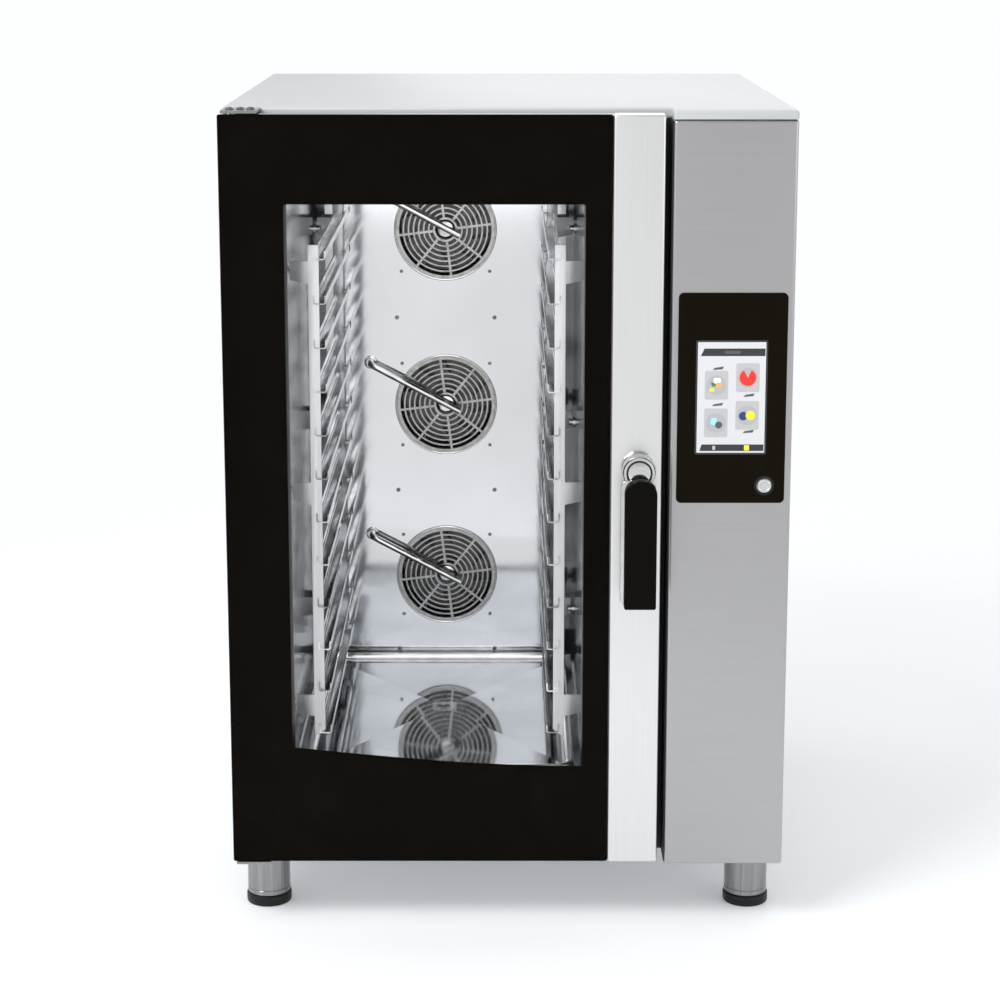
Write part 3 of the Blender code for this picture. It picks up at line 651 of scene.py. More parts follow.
def pie(a, b, radius, start, end, steps=20):
    """A round shape with a wedge left out, from one angle to another in degrees."""
    points = [(a, b)]
    for step in range(steps + 1):
        turn = math.radians(start + (end - start) * step / steps)
        points.append((a + radius * math.cos(turn), b + radius * math.sin(turn)))
    return points


on_screen("screen_bezel", bar_outline(0.005, 0.995, 0.005, 0.995, 0.002), 1, SCREEN_BAR)
on_screen("screen_page", bar_outline(0.03, 0.97, 0.02, 0.98, 0.001), 2, SCREEN_WHITE)
on_screen("screen_title_bar", slanted_bar(0.07, 0.96, 0.860, 0.925), 3, SCREEN_BAR)
on_screen("screen_title_mark", bar_outline(0.40, 0.62, 0.880, 0.905, 0.0008), 4, LABEL_GREY)
on_screen("screen_foot_bar", slanted_bar(0.07, 0.96, 0.035, 0.092, 0.03), 3, SCREEN_BAR)
on_screen("screen_foot_mark", bar_outline(0.69, 0.76, 0.040, 0.086, 0.0008), 4, ICON_YELLOW)
on_screen("screen_foot_spot", bar_outline(0.25, 0.29, 0.045, 0.080, 0.0008), 4, SCREEN_PALE)

# %% Icons: a pale tile, a grey disc, coloured shapes and a short label for each
ICON_RADIUS = 0.0142
ICON_PLACES = {
    "cook": (0.293, 0.608, 0.752),
    "heat": (0.725, 0.673, 0.519),
    "wash": (0.293, 0.281, 0.438),
    "more": (0.725, 0.346, 0.203),
}
for icon, (u, v, label_v) in ICON_PLACES.items():
    a, b = at(u, v)
    reach = ICON_RADIUS * 1.16
    tile = rounded_outline(a - reach, a + reach, b - reach * 1.25, b + reach * 1.25, 0.003, 4)
    on_screen(f"tile_{icon}", tile, 3, SCREEN_PALE)
    on_screen(f"icon_{icon}", round_outline(a, b, ICON_RADIUS, 40), 4, ICON_GROUND)
    label_a, label_b = at(u + 0.02, label_v)
    label = [(label_a - 0.008, label_b - 0.002), (label_a + 0.006, label_b - 0.001)]
    label += [(label_a + 0.008, label_b + 0.003), (label_a - 0.005, label_b + 0.001)]
    on_screen(f"icon_{icon}_label", label, 5, LABEL_GREY)

a, b = at(*ICON_PLACES["cook"][:2])
on_screen("cook_lid", rounded_outline(a - 0.004, a + 0.006, b + 0.002, b + 0.010, 0.002), 5, ICON_WHITE)
loaf = rounded_outline(a - 0.001, a + 0.007, b - 0.003, b + 0.004, 0.0015)
on_screen("cook_loaf", loaf, 6, ICON_ORANGE)
on_screen("cook_leaf", pie(a - 0.006, b - 0.002, 0.006, 10, 110), 6, ICON_GREEN)
on_screen("cook_corn", rounded_outline(a - 0.010, a - 0.003, b - 0.009, b - 0.004, 0.002), 6, ICON_YELLOW)
a, b = at(*ICON_PLACES["heat"][:2])
on_screen("heat_dial", pie(a, b, 0.0118, 118, 425, 32), 5, ICON_RED)
a, b = at(*ICON_PLACES["wash"][:2])
on_screen("wash_drop", rounded_outline(a - 0.007, a + 0.001, b - 0.003, b + 0.007, 0.002), 5, ICON_CYAN)
on_screen("wash_brush", round_outline(a + 0.004, b - 0.003, 0.005, 24), 6, LABEL_GREY)
a, b = at(*ICON_PLACES["more"][:2])
on_screen("more_left", round_outline(a - 0.0055, b - 0.001, 0.0062, 28), 5, ICON_BLUE)
on_screen("more_right", round_outline(a + 0.0045, b, 0.0066, 28), 6, ICON_YELLOW)

# %% [markdown]
# ## The push button
# A silver disc stands in a dark round well. It is turned in one go: a shallow dish on top, a
# rounded shoulder, then the skirt that slides in the hole.

# %% Button and its dark ring
cap_steps = [(0.0060, 0.0086), (0.0102, 0.0086), (0.0102, 0.0018), (0.0096, 0.0006), (0.0086, 0.0001)]
cap_steps += [(0.0078, 0.0003), (0.0070, 0.0009), (0.0040, 0.0006), (0.0006, 0.0004)]
cap_profile = [(0.0060, button_high.y), *stepped(button_low.y, cap_steps)]
button = turned("button_cap", "Y", (button_x, button_z), cap_profile)
dress(button, SATIN_SILVER, "button", ["push_button"])
WELL_RADII = (0.0142, 0.0111)
well_rings = [round_outline(button_x, button_z, radius) for radius in WELL_RADII]
well = cut_sheet("button_well", well_rings, "Y", glass_front - 0.0004, glass_front, 0.00015)
dress(well, FOOT_BLACK, "casing")

# %% [markdown]
# ## The door's glass face
# The pane is clear; its wide black border is printed on the back, and the window is what the
# print leaves free. Its lower edge falls in a long slow arc to the right. The print is a flat
# outline with a hole, a fraction of a millimetre thick, just behind the pane.

# %% Printed border
pane_low, pane_high = map(Vector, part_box("door_outer_glass"))
liner_low, liner_high = map(Vector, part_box("cavity_liner"))
window_left = liner_low.x + 0.0073
window_right = liner_high.x - 0.0072
window_top = liner_high.z - 0.026
arc_left, arc_right = 0.2730, 0.2445


def window_outline():
    """Anticlockwise from the upper right, with the arc along the bottom."""
    points = rounded_outline(window_left, window_right, arc_left + 0.1, window_top, 0.004, 4)[:10]
    steps = 24
    for step in range(steps + 1):
        t = step / steps
        drop = math.sin(t * math.pi / 2)
        along = window_left + t * (window_right - window_left)
        points.append((along, arc_left + (arc_right - arc_left) * drop))
    return points


INSET = 0.0004
print_edge = rounded_outline(
    pane_low.x + INSET, pane_high.x - INSET, pane_low.z + INSET, pane_high.z - INSET, 0.003
)
print_front, print_back = pane_high.y + 0.00005, pane_high.y + 0.0002
border = cut_sheet("door_print", [print_edge, window_outline()], "Y", print_front, print_back)
dress(border, PRINT_BLACK, "door")

# %% [markdown]
# ## The handle strip
# The bright strip beside the glass is a folded channel. Like the column it starts as a cube
# without its back, and its upright edges are bent on a small radius.

# %% Strip
strip_low, strip_high = map(Vector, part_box("handle_strip"))
STRIP_FOLD = 0.0038
strip = open_pan("strip_channel", strip_low, strip_high, (0, 1, 0), STRIP_FOLD, SHEET, 4)
settle(strip)
dress(strip, STRIP_STEEL, "door", ["handle_strip"])

# %% [markdown]
# ## The handle
# A chromed hub turns on the strip, a flat lever hangs from it, and a black moulded grip is
# screwed to the lever's face. The hub is a turned part with a shallow dome and a dark seal ring
# in its groove. The grip is a flat outline with thickness, and its broadly rounded edges make it
# look moulded.

# %% Hub and lever
lever_low, lever_high = map(Vector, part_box("handle_lever"))
grip_low, grip_high = map(Vector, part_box("handle_grip"))
rose_low, rose_high = map(Vector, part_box("handle_rosette"))
hub_x = (rose_low.x + rose_high.x) / 2
hub_z = (rose_low.z + rose_high.z) / 2
hub_back = [(0.0205, 0), (0.0228, -0.0022), (0.0230, -0.0060)]
hub_front = [(0.0230, 0.0070), (0.0226, 0.0048), (0.0216, 0.0034), (0.0196, 0.0026), (0.0184, 0.0028)]
hub_front += [(0.0176, 0.0046), (0.0164, 0.0046), (0.0156, 0.0024), (0.0130, 0.0012)]
hub_front += [(0.0080, 0.0003), (0.0006, 0)]
hub_profile = stepped(lever_high.y, hub_back) + stepped(lever_low.y, hub_front)
hub = turned("handle_hub", "Y", (hub_x, hub_z), hub_profile, 64)
dress(hub, CHROME, "handle", ["handle_lever"])
RING_RADIUS, RING_THICK = 0.0170, 0.0011
groove = (hub_x, lever_low.y + 0.0036, hub_z)
hub_seal = ring_bar("handle_hub_seal", groove, RING_RADIUS, RING_THICK, 56)
dress(hub_seal, SEAL_BLACK, "handle")
BLADE_TOP = 0.6780
blade_edge = rounded_outline(lever_low.x, lever_high.x, lever_low.z, BLADE_TOP, 0.009, 8)
blade_front, blade_back = lever_low.y + 0.0002, lever_low.y + 0.0052
lever = cut_sheet("handle_blade", [blade_edge], "Y", blade_front, blade_back, 0.0012, 3)
dress(lever, CHROME, "handle")

# %% Grip
grip_mid = (grip_low.x + grip_high.x) / 2
grip_half = (grip_high.x - grip_low.x) / 2
CROWN = 0.020
GRIP_EDGE = 0.0055
grip_outline = rounded_outline(grip_low.x, grip_high.x, grip_low.z, grip_low.z + 0.05, 0.003, 4)[10:]
CROWN_STEPS = 16
for step in range(CROWN_STEPS + 1):
    turn = math.pi * step / CROWN_STEPS
    along = grip_mid + grip_half * math.cos(turn)
    grip_outline.append((along, grip_high.z - CROWN + CROWN * math.sin(turn)))
grip = cut_sheet("handle_moulding", [grip_outline], "Y", grip_low.y, grip_high.y, GRIP_EDGE, 5)
dress(grip, GRIP_BLACK, "handle", ["handle_grip"])

# %% [markdown]
# ## Feet
# Each foot is a polished tube with a flange under the casing and a black moulded base whose stem
# slides in it. Both are turned. The tube gets a groove and a small lip, the base a soft edge.

# %% Tubes and bases
TUBE_TOP = [(0.0360, 0), (0.0360, -0.0034), (0.0345, -0.0044), (0.0318, -0.0050)]
TUBE_FOOT = [(0.0318, 0.0090), (0.0312, 0.0084), (0.0312, 0.0074), (0.0318, 0.0068), (0.0318, 0.0008)]
TUBE_FOOT += [(0.0312, 0), (0.0294, 0), (0.0294, 0.0600)]
CUP = [(0.0310, 0), (0.0328, 0.0008), (0.0335, 0.0026), (0.0335, 0.0128), (0.0330, 0.0148)]
CUP += [(0.0318, 0.0158), (0.0286, 0.0158)]
for end in ("front", "rear"):
    for side in ("left", "right"):
        tube_node, base_node = f"leg_tube_{end}_{side}", f"foot_base_{end}_{side}"
        tube_low, tube_high = map(Vector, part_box(tube_node))
        base_low, base_high = map(Vector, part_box(base_node))
        centre = ((base_low.x + base_high.x) / 2, (base_low.y + base_high.y) / 2)
        profile = stepped(tube_high.z, TUBE_TOP) + stepped(tube_low.z, TUBE_FOOT)
        tube = turned(f"foot_tube_{end}_{side}", "Z", centre, profile, 56)
        dress(tube, FOOT_STEEL, "casing", [tube_node])
        profile = [*stepped(base_low.z, CUP), (0.0286, base_high.z)]
        base = turned(f"foot_cup_{end}_{side}", "Z", centre, profile, 56)
        dress(base, FOOT_BLACK, f"foot_{end}_{side}", [base_node])

# %% [markdown]
# ## The fan wall
# Three round guards cover the fans: flat discs with rings of curved slots between eight spokes.
# One guard is cut as a flat outline with all its slots as holes, and copied for the other two.

# %% Guards
guard_low, guard_high = map(Vector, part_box("fan_grille_1"))
fan_x = (guard_low.x + guard_high.x) / 2
guard_boxes = [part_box(f"fan_grille_{number}") for number in (1, 2, 3)]
fan_heights = [(low[2] + high[2]) / 2 for low, high in guard_boxes]
GUARD_RADIUS = (guard_high.x - guard_low.x) / 2
RINGS = 7
SPOKES = 8
RING_START, RING_END = 0.0205, 0.0795
RING_PITCH = (RING_END - RING_START) / RINGS
SLOT_WIDTH = RING_PITCH * 0.70
SPOKE_WIDTH = 0.0036
FIRST_SPOKE = math.radians(7)
HUB_HOLE = RING_START - 0.0035


def curved_slot(centre_a, centre_b, radius, width, start, end, steps=5):
    turns = [start + (end - start) * step / steps for step in range(steps + 1)]

    def arc(reach):
        return [(centre_a + reach * math.cos(t), centre_b + reach * math.sin(t)) for t in turns]

    return arc(radius + width) + arc(radius)[::-1]


guard_outlines = [round_outline(fan_x, fan_heights[0], GUARD_RADIUS, 72)]
guard_outlines.append(round_outline(fan_x, fan_heights[0], HUB_HOLE, 32))
for ring in range(RINGS):
    radius = RING_START + ring * RING_PITCH
    half_spoke = SPOKE_WIDTH / 2 / radius
    for spoke in range(SPOKES):
        start = FIRST_SPOKE + spoke * math.pi / 4 + half_spoke
        end = start + math.pi / 4 - 2 * half_spoke
        guard_outlines.append(curved_slot(fan_x, fan_heights[0], radius, SLOT_WIDTH, start, end))
guard = cut_sheet("fan_guard_1", guard_outlines, "Y", guard_low.y, guard_high.y)
guards = [guard]
for number in (2, 3):
    shift = (0, 0, fan_heights[number - 1] - fan_heights[0])
    guards.append(copy_of(guard, f"fan_guard_{number}", shift))
RIM_TUBE = 0.0016
for number, piece in enumerate(guards, start=1):
    dress(piece, GUARD_STEEL, "casing", [f"fan_grille_{number}"])
    rim_centre = (fan_x, guard_low.y + 0.0006, fan_heights[number - 1])
    rim = ring_bar(f"guard_rim_{number}", rim_centre, GUARD_RADIUS - RIM_TUBE, RIM_TUBE)
    dress(rim, WIRE_STEEL, "casing")

# %% Hub nuts behind the guards
NUT_STEPS = [(0.0140, 0.004), (0.0140, -0.0060), (0.0128, -0.0074), (0.0080, -0.0082), (0.0006, -0.0086)]
for number, height in enumerate(fan_heights, start=1):
    wheel_low = Vector(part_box(f"fan_impeller_{number}")[0])
    nut = turned(f"fan_nut_{number}", "Y", (fan_x, height), stepped(wheel_low.y, NUT_STEPS), 24)
    dress(nut, CHROME, f"fan_{number}")

# %% [markdown]
# ## Screws
# A pan-head screw with a washer holds every panel. One is modelled, with a round recess in its
# head, and copied to each place. Screws that share a body are joined into one piece.

# %% One screw, copied
SCREW_STEPS = [(1.35, -0.0004), (1.35, 0.0005), (1.28, 0.0008), (1, 0.0008), (1, 0.0016)]
SCREW_STEPS += [(0.9, 0.0025), (0.66, 0.0031), (0.44, 0.0032), (0.40, 0.0014)]


def screw_at(name, axis, sign, place, size):
    """A washer and a domed head of the given radius, pointing along the axis."""
    index = "XYZ".index(axis)
    centre = tuple(value for i, value in enumerate(place) if i != index)
    steps = [(size * share, along) for share, along in SCREW_STEPS]
    return turned(name, axis, centre, stepped(place[index], steps, sign), 18)


def screw_row(name, axis, sign, places, material, body, size):
    master = screw_at(name, axis, sign, places[0], size)
    screws = [master]
    for number, place in enumerate(places[1:], start=2):
        shift = Vector(place) - Vector(places[0])
        screws.append(copy_of(master, f"{name}_{number}", shift))
    row = join_pieces(name, screws) if len(screws) > 1 else master
    return dress(row, material, body)


baffle_low = Vector(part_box("air_baffle")[0])
SCREW_ACROSS, SCREW_UP = 0.0735, 0.0700
guard_screws = []
for height in fan_heights:
    for side in (-1, 1):
        for level in (-1, 1):
            x, z = fan_x + side * SCREW_ACROSS, height + level * SCREW_UP
            guard_screws.append((x, baffle_low.y, z))
screw_row("guard_screws", "Y", -1, guard_screws, SCREW_STEEL, "casing", 0.0022)
FIXING_ACROSS, LOWEST_FIXING = 0.0815, fan_heights[0] - 0.132
fixings = []
between_fans = [(low + high) / 2 for low, high in zip(fan_heights, fan_heights[1:])]
for level in (LOWEST_FIXING, *between_fans):
    for side in (-1, 1):
        fixings.append((fan_x + side * FIXING_ACROSS, baffle_low.y, level))
screw_row("baffle_fixings", "Y", -1, fixings, SCREW_STEEL, "casing", 0.0027)

# %% [markdown]
# ## Water injection tubes
# A thin polished tube crosses each guard on a slant and feeds water to the fan. It leaves the
# wall at its upper left end, held there by a small flange.

# %% Tubes
TUBE_LEFT, TUBE_UP = 0.126, 0.072
TUBE_Y, TUBE_RADIUS, TUBE_BEND = 0.228, 0.0052, 0.012
FLANGE = [(0.0110, -0.0002), (0.0110, -0.0018), (0.0100, -0.0026), (0.0078, -0.0028), (0.0070, -0.0060)]
for number, height in enumerate(fan_heights, start=1):
    wall_x, wall_z = fan_x - TUBE_LEFT, height + TUBE_UP
    path = [(wall_x, baffle_low.y - 0.001, wall_z), (wall_x, TUBE_Y, wall_z)]
    path.append((fan_x + 0.024, TUBE_Y, height - 0.008))
    tube = bent_bar(f"water_tube_{number}", with_bends(path, TUBE_BEND), TUBE_RADIUS, 5)
    dress(tube, CHROME, "casing", [f"injection_tube_{number}"])
    profile = stepped(baffle_low.y, FLANGE)
    flange = turned(f"water_tube_flange_{number}", "Y", (wall_x, wall_z), profile, 28)
    dress(flange, CHROME, "casing")

# %% [markdown]
# ## The chamber floor
# The floor falls to the drain from all four sides, so two creases cross it from corner to corner.
# A plane with one vertex in the middle, lowered a few millimetres, gives exactly that.

# %% Chamber floor with its fall to the drain
inner_left, inner_right = liner_low.x + 0.0018, liner_high.x - 0.0018
inner_front, inner_back = liner_low.y + 0.002, baffle_low.y - 0.0006
drain_low, drain_high = map(Vector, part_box("drain_strainer"))
drain = Vector(((drain_low.x + drain_high.x) / 2, (drain_low.y + drain_high.y) / 2))
RIM_Z = drain_high.z + 0.0066
middle = ((inner_left + inner_right) / 2, (inner_front + inner_back) / 2, RIM_Z)
deselect_all()
bpy.ops.mesh.primitive_plane_add(size=1, location=middle)
fall = named("chamber_floor")
fall.scale = (inner_right - inner_left, inner_back - inner_front, 1)
bpy.ops.object.transform_apply()
edit_faces(fall, lambda face: True)
bpy.ops.mesh.poke()
bpy.ops.mesh.select_mode(type="VERT")
bpy.ops.mesh.select_all(action="DESELECT")
bpy.ops.object.mode_set(mode="OBJECT")
lowest = min(fall.data.vertices, key=lambda vertex: (vertex.co - Vector(middle)).length)
lowest.select = True
to_drain = (drain.x - middle[0], drain.y - middle[1], drain_high.z - 0.0006 - middle[2])
bpy.ops.object.mode_set(mode="EDIT")
bpy.ops.transform.translate(value=to_drain)
bpy.ops.object.mode_set(mode="OBJECT")
print("floor falls by", round(-to_drain[2], 4), "m to the drain")
fold = fall.modifiers.new("sheet", "SOLIDIFY")
fold.thickness = 0.0006
settle(fall, 1)
dress(fall, FLOOR_STEEL, "casing")

# %% The rounded bead pressed round the floor
BEAD = 0.0068
BEAD_BEND = 0.026
bead_in = 0.020
corners = (
    (inner_left + bead_in, inner_front + bead_in),
    (inner_right - bead_in, inner_front + bead_in),
    (inner_right - bead_in, inner_back - bead_in),
    (inner_left + bead_in, inner_back - bead_in),
)
start = ((corners[0][0] + corners[1][0]) / 2, corners[0][1])
loop = [start, corners[1], corners[2], corners[3], corners[0], start]
path = with_bends([(x, y, RIM_Z + 0.0016) for x, y in loop], BEAD_BEND, 8)
bead = bent_bar("floor_bead", path[:-1], BEAD, 5, cyclic=True)
dress(bead, WIRE_STEEL, "casing")

# %% [markdown]
# ## The tray racks
# Each rack is two flat uprights, cut slantwise at the foot, with three tabs that hang on studs in
# the wall, and twelve rails between them. A rail is a shallow channel with rounded corners: one
# outline, drawn out along its length, then copied upwards at the tray pitch.

# %% The outlines of a rail and an upright
RAIL_PITCH = 0.0646
RAIL_COUNT = 12
RAIL_WALL = 0.0018
RAIL_HEIGHT = 0.0130
RAIL_OUTER = 0.1780
UPRIGHT_IN, UPRIGHT_OUT = 0.1693, 0.1857
UPRIGHT_THICK = 0.003
TAB_HEIGHTS = (0.300, 0.624, 0.950)
TAB_TALL = 0.034
FIRST_RAIL = 0.258
STUD_WALL = 0.2149
STUD_STEPS = [(0.0085, 0), (0.0085, 0.002), (0.0048, 0.0022), (0.0048, 0.0085), (0.004, 0.0092)]


def channel_outline(near, far, z, wall, height, radius=0.0036, steps=5):
    """A U seen from its end, between two distances across and from its underside up."""
    quarter = [math.radians(90 * step / steps) for step in range(steps + 1)]
    near_bend, far_bend, bend_z = near + radius, far - radius, z + radius

    def bends(size):
        first = [(near_bend - size * math.cos(t), bend_z - size * math.sin(t)) for t in quarter]
        second = [(far_bend + size * math.sin(t), bend_z - size * math.cos(t)) for t in quarter]
        return first + second

    outside = [(near, z + height), *bends(radius), (far, z + height)]
    inside = [(near + wall, z + height), *bends(radius - wall), (far - wall, z + height)]
    return outside + inside[::-1]


def upright_outline(bottom, top, side):
    """One upright with its three tabs, on the given side of the chamber."""
    tab_end = rack_reach - 0.0008
    across = [(UPRIGHT_IN, bottom + 0.010), (UPRIGHT_OUT - 0.004, bottom), (UPRIGHT_OUT, bottom)]
    for height in TAB_HEIGHTS:
        low, high = height - TAB_TALL / 2, height + TAB_TALL / 2
        across += [(UPRIGHT_OUT, low), (tab_end, low + 0.006), (tab_end, high), (UPRIGHT_OUT, high)]
    across += [(UPRIGHT_OUT, top), (UPRIGHT_IN, top)]
    return [(fan_x + side * distance, z) for distance, z in across]


# %% Both racks and their studs
for name, side in (("left", -1), ("right", 1)):
    rack_low, rack_high = map(Vector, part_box(f"rack_{name}"))
    distances = (abs(rack_low.x - fan_x), abs(rack_high.x - fan_x))
    rail_near, rack_reach = min(distances), max(distances)
    outline = channel_outline(rail_near, RAIL_OUTER, FIRST_RAIL, RAIL_WALL, RAIL_HEIGHT)
    outline = [(fan_x + side * distance, z) for distance, z in outline]
    rail = cut_sheet(f"rail_{name}", [outline], "Y", rack_low.y, rack_high.y)
    rails = [rail]
    for number in range(1, RAIL_COUNT):
        rails.append(copy_of(rail, f"rail_{name}_{number}", (0, 0, number * RAIL_PITCH)))
    upright = upright_outline(rack_low.z, rack_high.z, side)
    uprights = []
    for place in (rack_low.y + 0.0035, rack_high.y - 0.0065):
        bar = cut_sheet(f"upright_{name}", [upright], "Y", place, place + UPRIGHT_THICK, 0.0007)
        uprights.append(bar)
    pair = join_pieces(f"rack_uprights_{name}", uprights)
    dress(pair, UPRIGHT_STEEL, f"rack_{name}_body")
    rack_piece = join_pieces(f"tray_rack_{name}", rails)
    dress(rack_piece, RACK_STEEL, f"rack_{name}_body", [f"rack_{name}"])
    profile = stepped(fan_x + side * STUD_WALL, STUD_STEPS, -side)
    studs = []
    for height in TAB_HEIGHTS:
        for place in (rack_low.y + 0.0145, rack_high.y - 0.0145):
            studs.append(turned(f"stud_{name}", "X", (place, height), profile, 20))
    dress(join_pieces(f"rack_studs_{name}", studs), WIRE_STEEL, "casing")

# %% [markdown]
# ## Seals
# The chamber seal is a soft rubber ring round the opening; a broad rounding on a ring
# gives its swollen section. A second black strip lines the slit between door and column; it is
# painted shade, a dark sheet standing in for the shade that falls in that narrow slit.

# %% Chamber seal, and the painted shade in the slit
seal_low, seal_high = map(Vector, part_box("door_gasket"))
SEAL_WIDE = 0.010
seal_outer = rounded_outline(seal_low.x, seal_high.x, seal_low.z, seal_high.z, 0.040, 10)
inner_x = (seal_low.x + SEAL_WIDE, seal_high.x - SEAL_WIDE)
inner_z = (seal_low.z + SEAL_WIDE, seal_high.z - SEAL_WIDE)
seal_inner = rounded_outline(*inner_x, *inner_z, 0.030, 10)
seal = cut_sheet("chamber_seal", [seal_outer, seal_inner], "Y", seal_low.y, seal_high.y, 0.0034, 4)
dress(seal, SEAL_BLACK, "casing", ["door_gasket"])
# Painted shade: black sheets line the slit so that it reads as a dark line, as shade would make it.
slit_low, slit_high = column_low.z + 0.002, column_high.z - 0.002
slit_back, slit_edge = body_front - 0.0004, column_low.x - 0.0012
low = (slit_edge, column_low.y + 0.0050, slit_low)
shade_sheet_side = solid_box("slit_painted_shade_side", low, (column_low.x - 0.0001, slit_back, slit_high), 0.0003)
low = (strip_high.x - 0.0010, body_front - 0.0030, slit_low)
shade_sheet_back = solid_box("slit_painted_shade_back", low, (slit_edge, slit_back, slit_high), 0.0003)
shade_sheets = join_pieces("slit_painted_shade", [settle(shade_sheet_side), settle(shade_sheet_back)])
dress(shade_sheets, SEAL_BLACK, "casing")

# %% [markdown]
# ## Hinge bolts and inner door fittings
# The upper hinge plate is held by three dark bolts that stand proud of the cover. Inside the
# door, black clips hold the inner pane, and four screws surround the latch.

# %% Bolts, clips and latch screws
plate_low, plate_high = map(Vector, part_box("hinge_upper_bracket"))
bolt_y = plate_low.y + 0.023
bolts = [(plate_low.x + offset, bolt_y, plate_high.z) for offset in (0.0105, 0.0260, 0.0400)]
screw_row("hinge_bolts", "Z", 1, bolts, FAN_STEEL, "casing", 0.0048)
frame_high = Vector(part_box("door_frame")[1])
clips = []
for level in (liner_low.z + 0.008, liner_high.z - 0.018):
    for across in (0.22, 0.78):
        x = liner_low.x + across * (liner_high.x - liner_low.x)
        low = (x - 0.014, frame_high.y - 0.0010, level - 0.006)
        high = (x + 0.014, frame_high.y + 0.0030, level + 0.006)
        clips.append(settle(solid_box("clip", low, high, 0.0012, 3)))
dress(join_pieces("inner_pane_clips", clips), FOOT_BLACK, "door")
latch_screws = []
for across in (-0.024, 0.024):
    for up in (-0.034, 0.034):
        latch_screws.append((hub_x + across, frame_high.y, hub_z + up))
screw_row("latch_screws", "Y", 1, latch_screws, SCREW_STEEL, "door", 0.0030)

# %% [markdown]
# ## Sides, back and connections
# Pressed louvres let the electrics breathe. One is a wedge drawn out along the sheet, and the
# rest are copies. The pipes at the back pass through flanges, and the water valve and the cable
# gland each sit on a hexagon nut.

# %% Louvres
side_high = Vector(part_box("right_side_panel")[1])
back_low, back_high = map(Vector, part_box("back_panel"))
LOUVRE_PITCH = 0.018
wedge = [(side_high.x - 0.0004, 0), (side_high.x + 0.0036, 0.0020), (side_high.x - 0.0004, 0.0110)]
master = cut_sheet("louvre", [[(x, z + 0.260) for x, z in wedge]], "Y", 0.255, 0.335, 0.0006)
louvres = [master]
for row in range(12):
    for column_number in range(2):
        if row or column_number:
            shift = (0, -0.105 * column_number, row * LOUVRE_PITCH)
            louvres.append(copy_of(master, "louvre_copy", shift))
dress(join_pieces("side_louvres", louvres), SIDE_STEEL, "casing")
wedge = [(back_high.y - 0.0004, 0), (back_high.y + 0.0036, 0.0020), (back_high.y - 0.0004, 0.0110)]
master = cut_sheet("louvre", [[(y, z + 0.760) for y, z in wedge]], "X", 0.215, 0.345, 0.0006)
louvres = [master]
for row in range(1, 14):
    louvres.append(copy_of(master, "louvre_copy", (0, 0, row * LOUVRE_PITCH)))
dress(join_pieces("back_louvres", louvres), SIDE_STEEL, "casing")

# %% Panel screws
places = []
for z in (0.150, 0.420, 0.700, 0.980, 1.150):
    for x in (back_low.x + 0.020, back_high.x - 0.020):
        places.append((x, back_high.y, z))
screw_row("back_screws", "Y", 1, places, SCREW_STEEL, "casing", 0.0042)
for name, sign, face in (("right", 1, side_high.x), ("left", -1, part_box("left_side_panel")[0].x)):
    places = []
    for y in (-0.310, 0.060, 0.405):
        for z in (0.125, 1.150):
            places.append((face, y, z))
    screw_row(f"{name}_side_screws", "X", sign, places, SCREW_STEEL, "casing", 0.0040)

# %% Flanges and nuts round the connections
def stub(node):
    """Centre and radius of the part of a pipe that stands out behind the back panel."""
    behind = [v.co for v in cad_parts[node].data.vertices if v.co.y > back_high.y + 0.004]
    across, up = [co.x for co in behind], [co.z for co in behind]
    middle = ((min(across) + max(across)) / 2, (min(up) + max(up)) / 2)
    return middle, (max(across) - min(across)) / 2


for node in ("drain_pipe", "steam_vent_pipe"):
    centre, radius = stub(node)
    outer = [round_outline(*centre, radius + 0.012), round_outline(*centre, radius + 0.0002)]
    collar = cut_sheet(f"{node}_collar", outer, "Y", back_high.y - 0.0002, back_high.y + 0.0030, 0.0008)
    dress(collar, SIDE_STEEL, "casing")
for node, material in (("water_inlet_valve", BRASS), ("cable_gland", FOOT_BLACK)):
    centre, radius = stub(node)
    nut_outline = round_outline(*centre, radius + 0.006, 6)
    ring = [nut_outline, round_outline(*centre, radius + 0.0001, 32)]
    nut = cut_sheet(f"{node}_nut", ring, "Y", back_high.y - 0.0002, back_high.y + 0.0080, 0.0008)
    dress(nut, material, "casing")

# %% [markdown]
# ## Camera, floor and light
# The oven is lit by a large soft source from the upper left and weaker ones from the right, above
# and behind, on a pale floor, with a soft glow inside the chamber. The surroundings are white near
# the horizon and dimmer overhead, so that chrome shows a light part and a dark part.

# %% Camera
CAMERA_PLACE = (-0.0108, -3.6409, 1.4372)
CAMERA_TILT = math.radians(11.121)
camera_data = bpy.data.cameras.new("camera")
camera_data.lens = 84.85
camera_data.sensor_width = 36
camera_data.shift_y = -0.11
camera = bpy.data.objects.new("camera", camera_data)
camera.location = CAMERA_PLACE
camera.rotation_euler = (math.radians(90) - CAMERA_TILT, 0, 0)
bpy.context.collection.objects.link(camera)
bpy.context.scene.camera = camera
bpy.context.scene.view_settings.view_transform = "Standard"

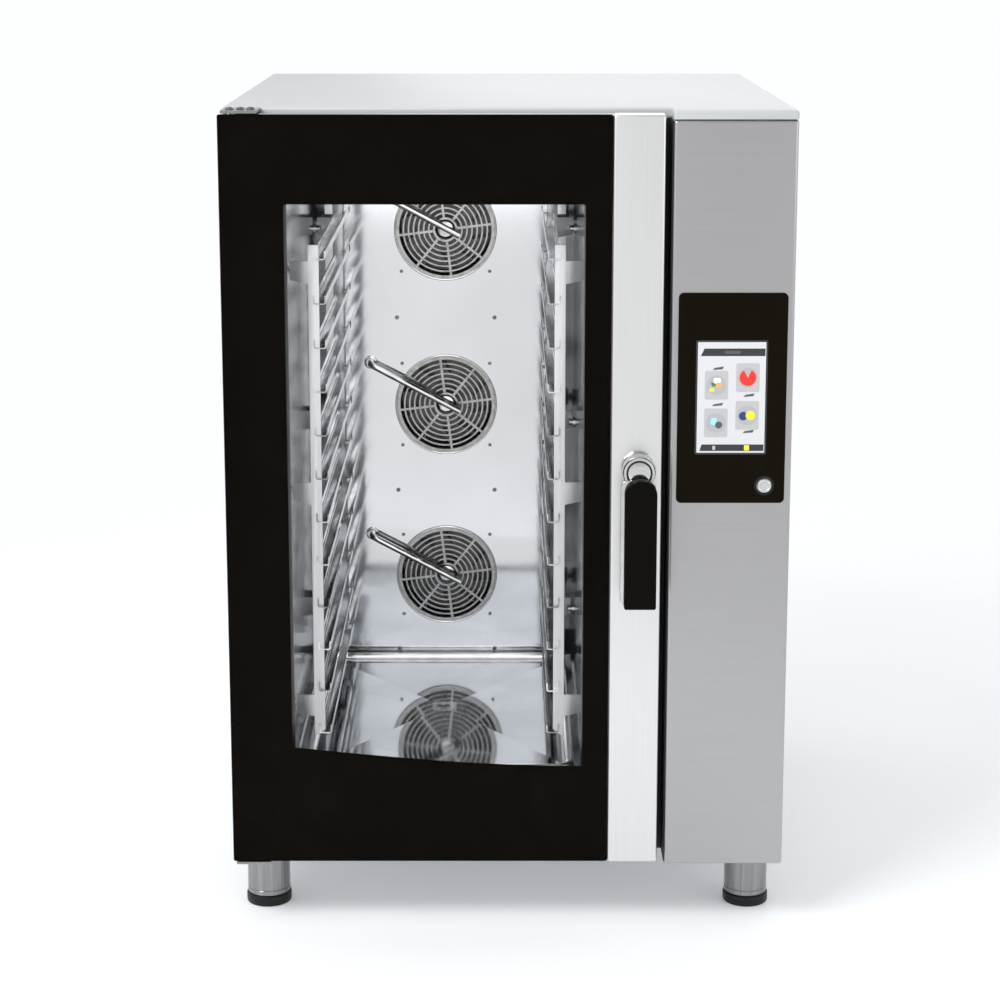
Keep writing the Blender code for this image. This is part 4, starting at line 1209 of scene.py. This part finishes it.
# %% Studio floor, which fades into the white surroundings
FADE_FROM, FADE_TO = 0.9, 2.8
deselect_all()
bpy.ops.mesh.primitive_plane_add(size=16)
ground = named("studio_floor")
paper, tree, shader = new_material("studio_floor")
link = tree.links.new
grain = noise(tree, (3, 3, 3))
link(blend_colours(tree, grain, (0.90, 0.91, 0.92), (0.92, 0.93, 0.94)), shader.inputs["Base Color"])
shader.inputs["Roughness"].default_value = 0.7
shader.inputs["Specular IOR Level"].default_value = 0.1
shader.inputs["Emission Color"].default_value = (0.90, 0.95, 1.0, 1)
shader.inputs["Emission Strength"].default_value = 0.21
place = tree.nodes.new("ShaderNodeTexCoord")
distance = tree.nodes.new("ShaderNodeVectorMath")
distance.operation = "LENGTH"
fade = tree.nodes.new("ShaderNodeMapRange")
fade.interpolation_type = "SMOOTHSTEP"
fade.inputs["From Min"].default_value = FADE_FROM
fade.inputs["From Max"].default_value = FADE_TO
clear = tree.nodes.new("ShaderNodeBsdfTransparent")
mixed = tree.nodes.new("ShaderNodeMixShader")
link(place.outputs["Object"], distance.inputs[0])
link(distance.outputs["Value"], fade.inputs["Value"])
link(fade.outputs["Result"], mixed.inputs[0])
link(shader.outputs["BSDF"], mixed.inputs[1])
link(clear.outputs["BSDF"], mixed.inputs[2])
link(mixed.outputs["Shader"], tree.nodes["Material Output"].inputs["Surface"])
ground.data.materials.append(paper)


# %% Lights
def soft_light(name, place, target, size, power):
    data = bpy.data.lights.new(name, "AREA")
    data.shape = "RECTANGLE"
    data.size, data.size_y = size
    data.energy = power
    light = bpy.data.objects.new(name, data)
    light.location = place
    light.rotation_euler = (Vector(target) - Vector(place)).to_track_quat("-Z", "Y").to_euler()
    light.visible_camera = False
    bpy.context.collection.objects.link(light)


soft_light("key", (-2.0, -2.2, 3.2), (0, 0, 0.4), (1.8, 1.4), 82)
soft_light("fill", (2.6, -1.8, 1.8), (0, 0, 0.6), (1.6, 1.6), 10)
soft_light("overhead", (0, 0.2, 3.4), (0, 0, 0), (2.4, 2.4), 16)
soft_light("rear", (0.6, 3.0, 2.2), (0, 0, 0.6), (2.0, 1.6), 16)
chamber_x = (liner_low.x + liner_high.x) / 2
chamber_z = (liner_low.z + liner_high.z) / 2
front_place = (chamber_x, liner_low.y + 0.012, chamber_z)
soft_light("chamber_front", front_place, (chamber_x, 1, chamber_z), (0.41, 0.86), 1.27)
top_place = (chamber_x, -0.02, liner_high.z - 0.02)
soft_light("chamber_top", top_place, (chamber_x, -0.02, 0), (0.26, 0.36), 0.6)

# %% World
world = bpy.data.worlds.new("studio")
bpy.context.scene.world = world
world.use_nodes = True
tree = world.node_tree
link = tree.links.new
direction = tree.nodes.new("ShaderNodeTexCoord")
split = tree.nodes.new("ShaderNodeSeparateXYZ")
shade = tree.nodes.new("ShaderNodeMapRange")
shade.inputs["From Min"].default_value = 0.05
shade.inputs["From Max"].default_value = 0.75
shade.inputs["To Min"].default_value = 0.96
shade.inputs["To Max"].default_value = 0.48
rays = tree.nodes.new("ShaderNodeLightPath")
pick = tree.nodes.new("ShaderNodeMix")
pick.inputs["B"].default_value = 1.0
background = tree.nodes["Background"]
background.inputs["Color"].default_value = (0.985, 0.995, 1.0, 1)
link(direction.outputs["Generated"], split.inputs["Vector"])
link(split.outputs["Z"], shade.inputs["Value"])
link(rays.outputs["Is Camera Ray"], pick.inputs["Factor"])
link(shade.outputs["Result"], pick.inputs["A"])
link(pick.outputs["Result"], background.inputs["Strength"])
print("camera, floor and lights placed")
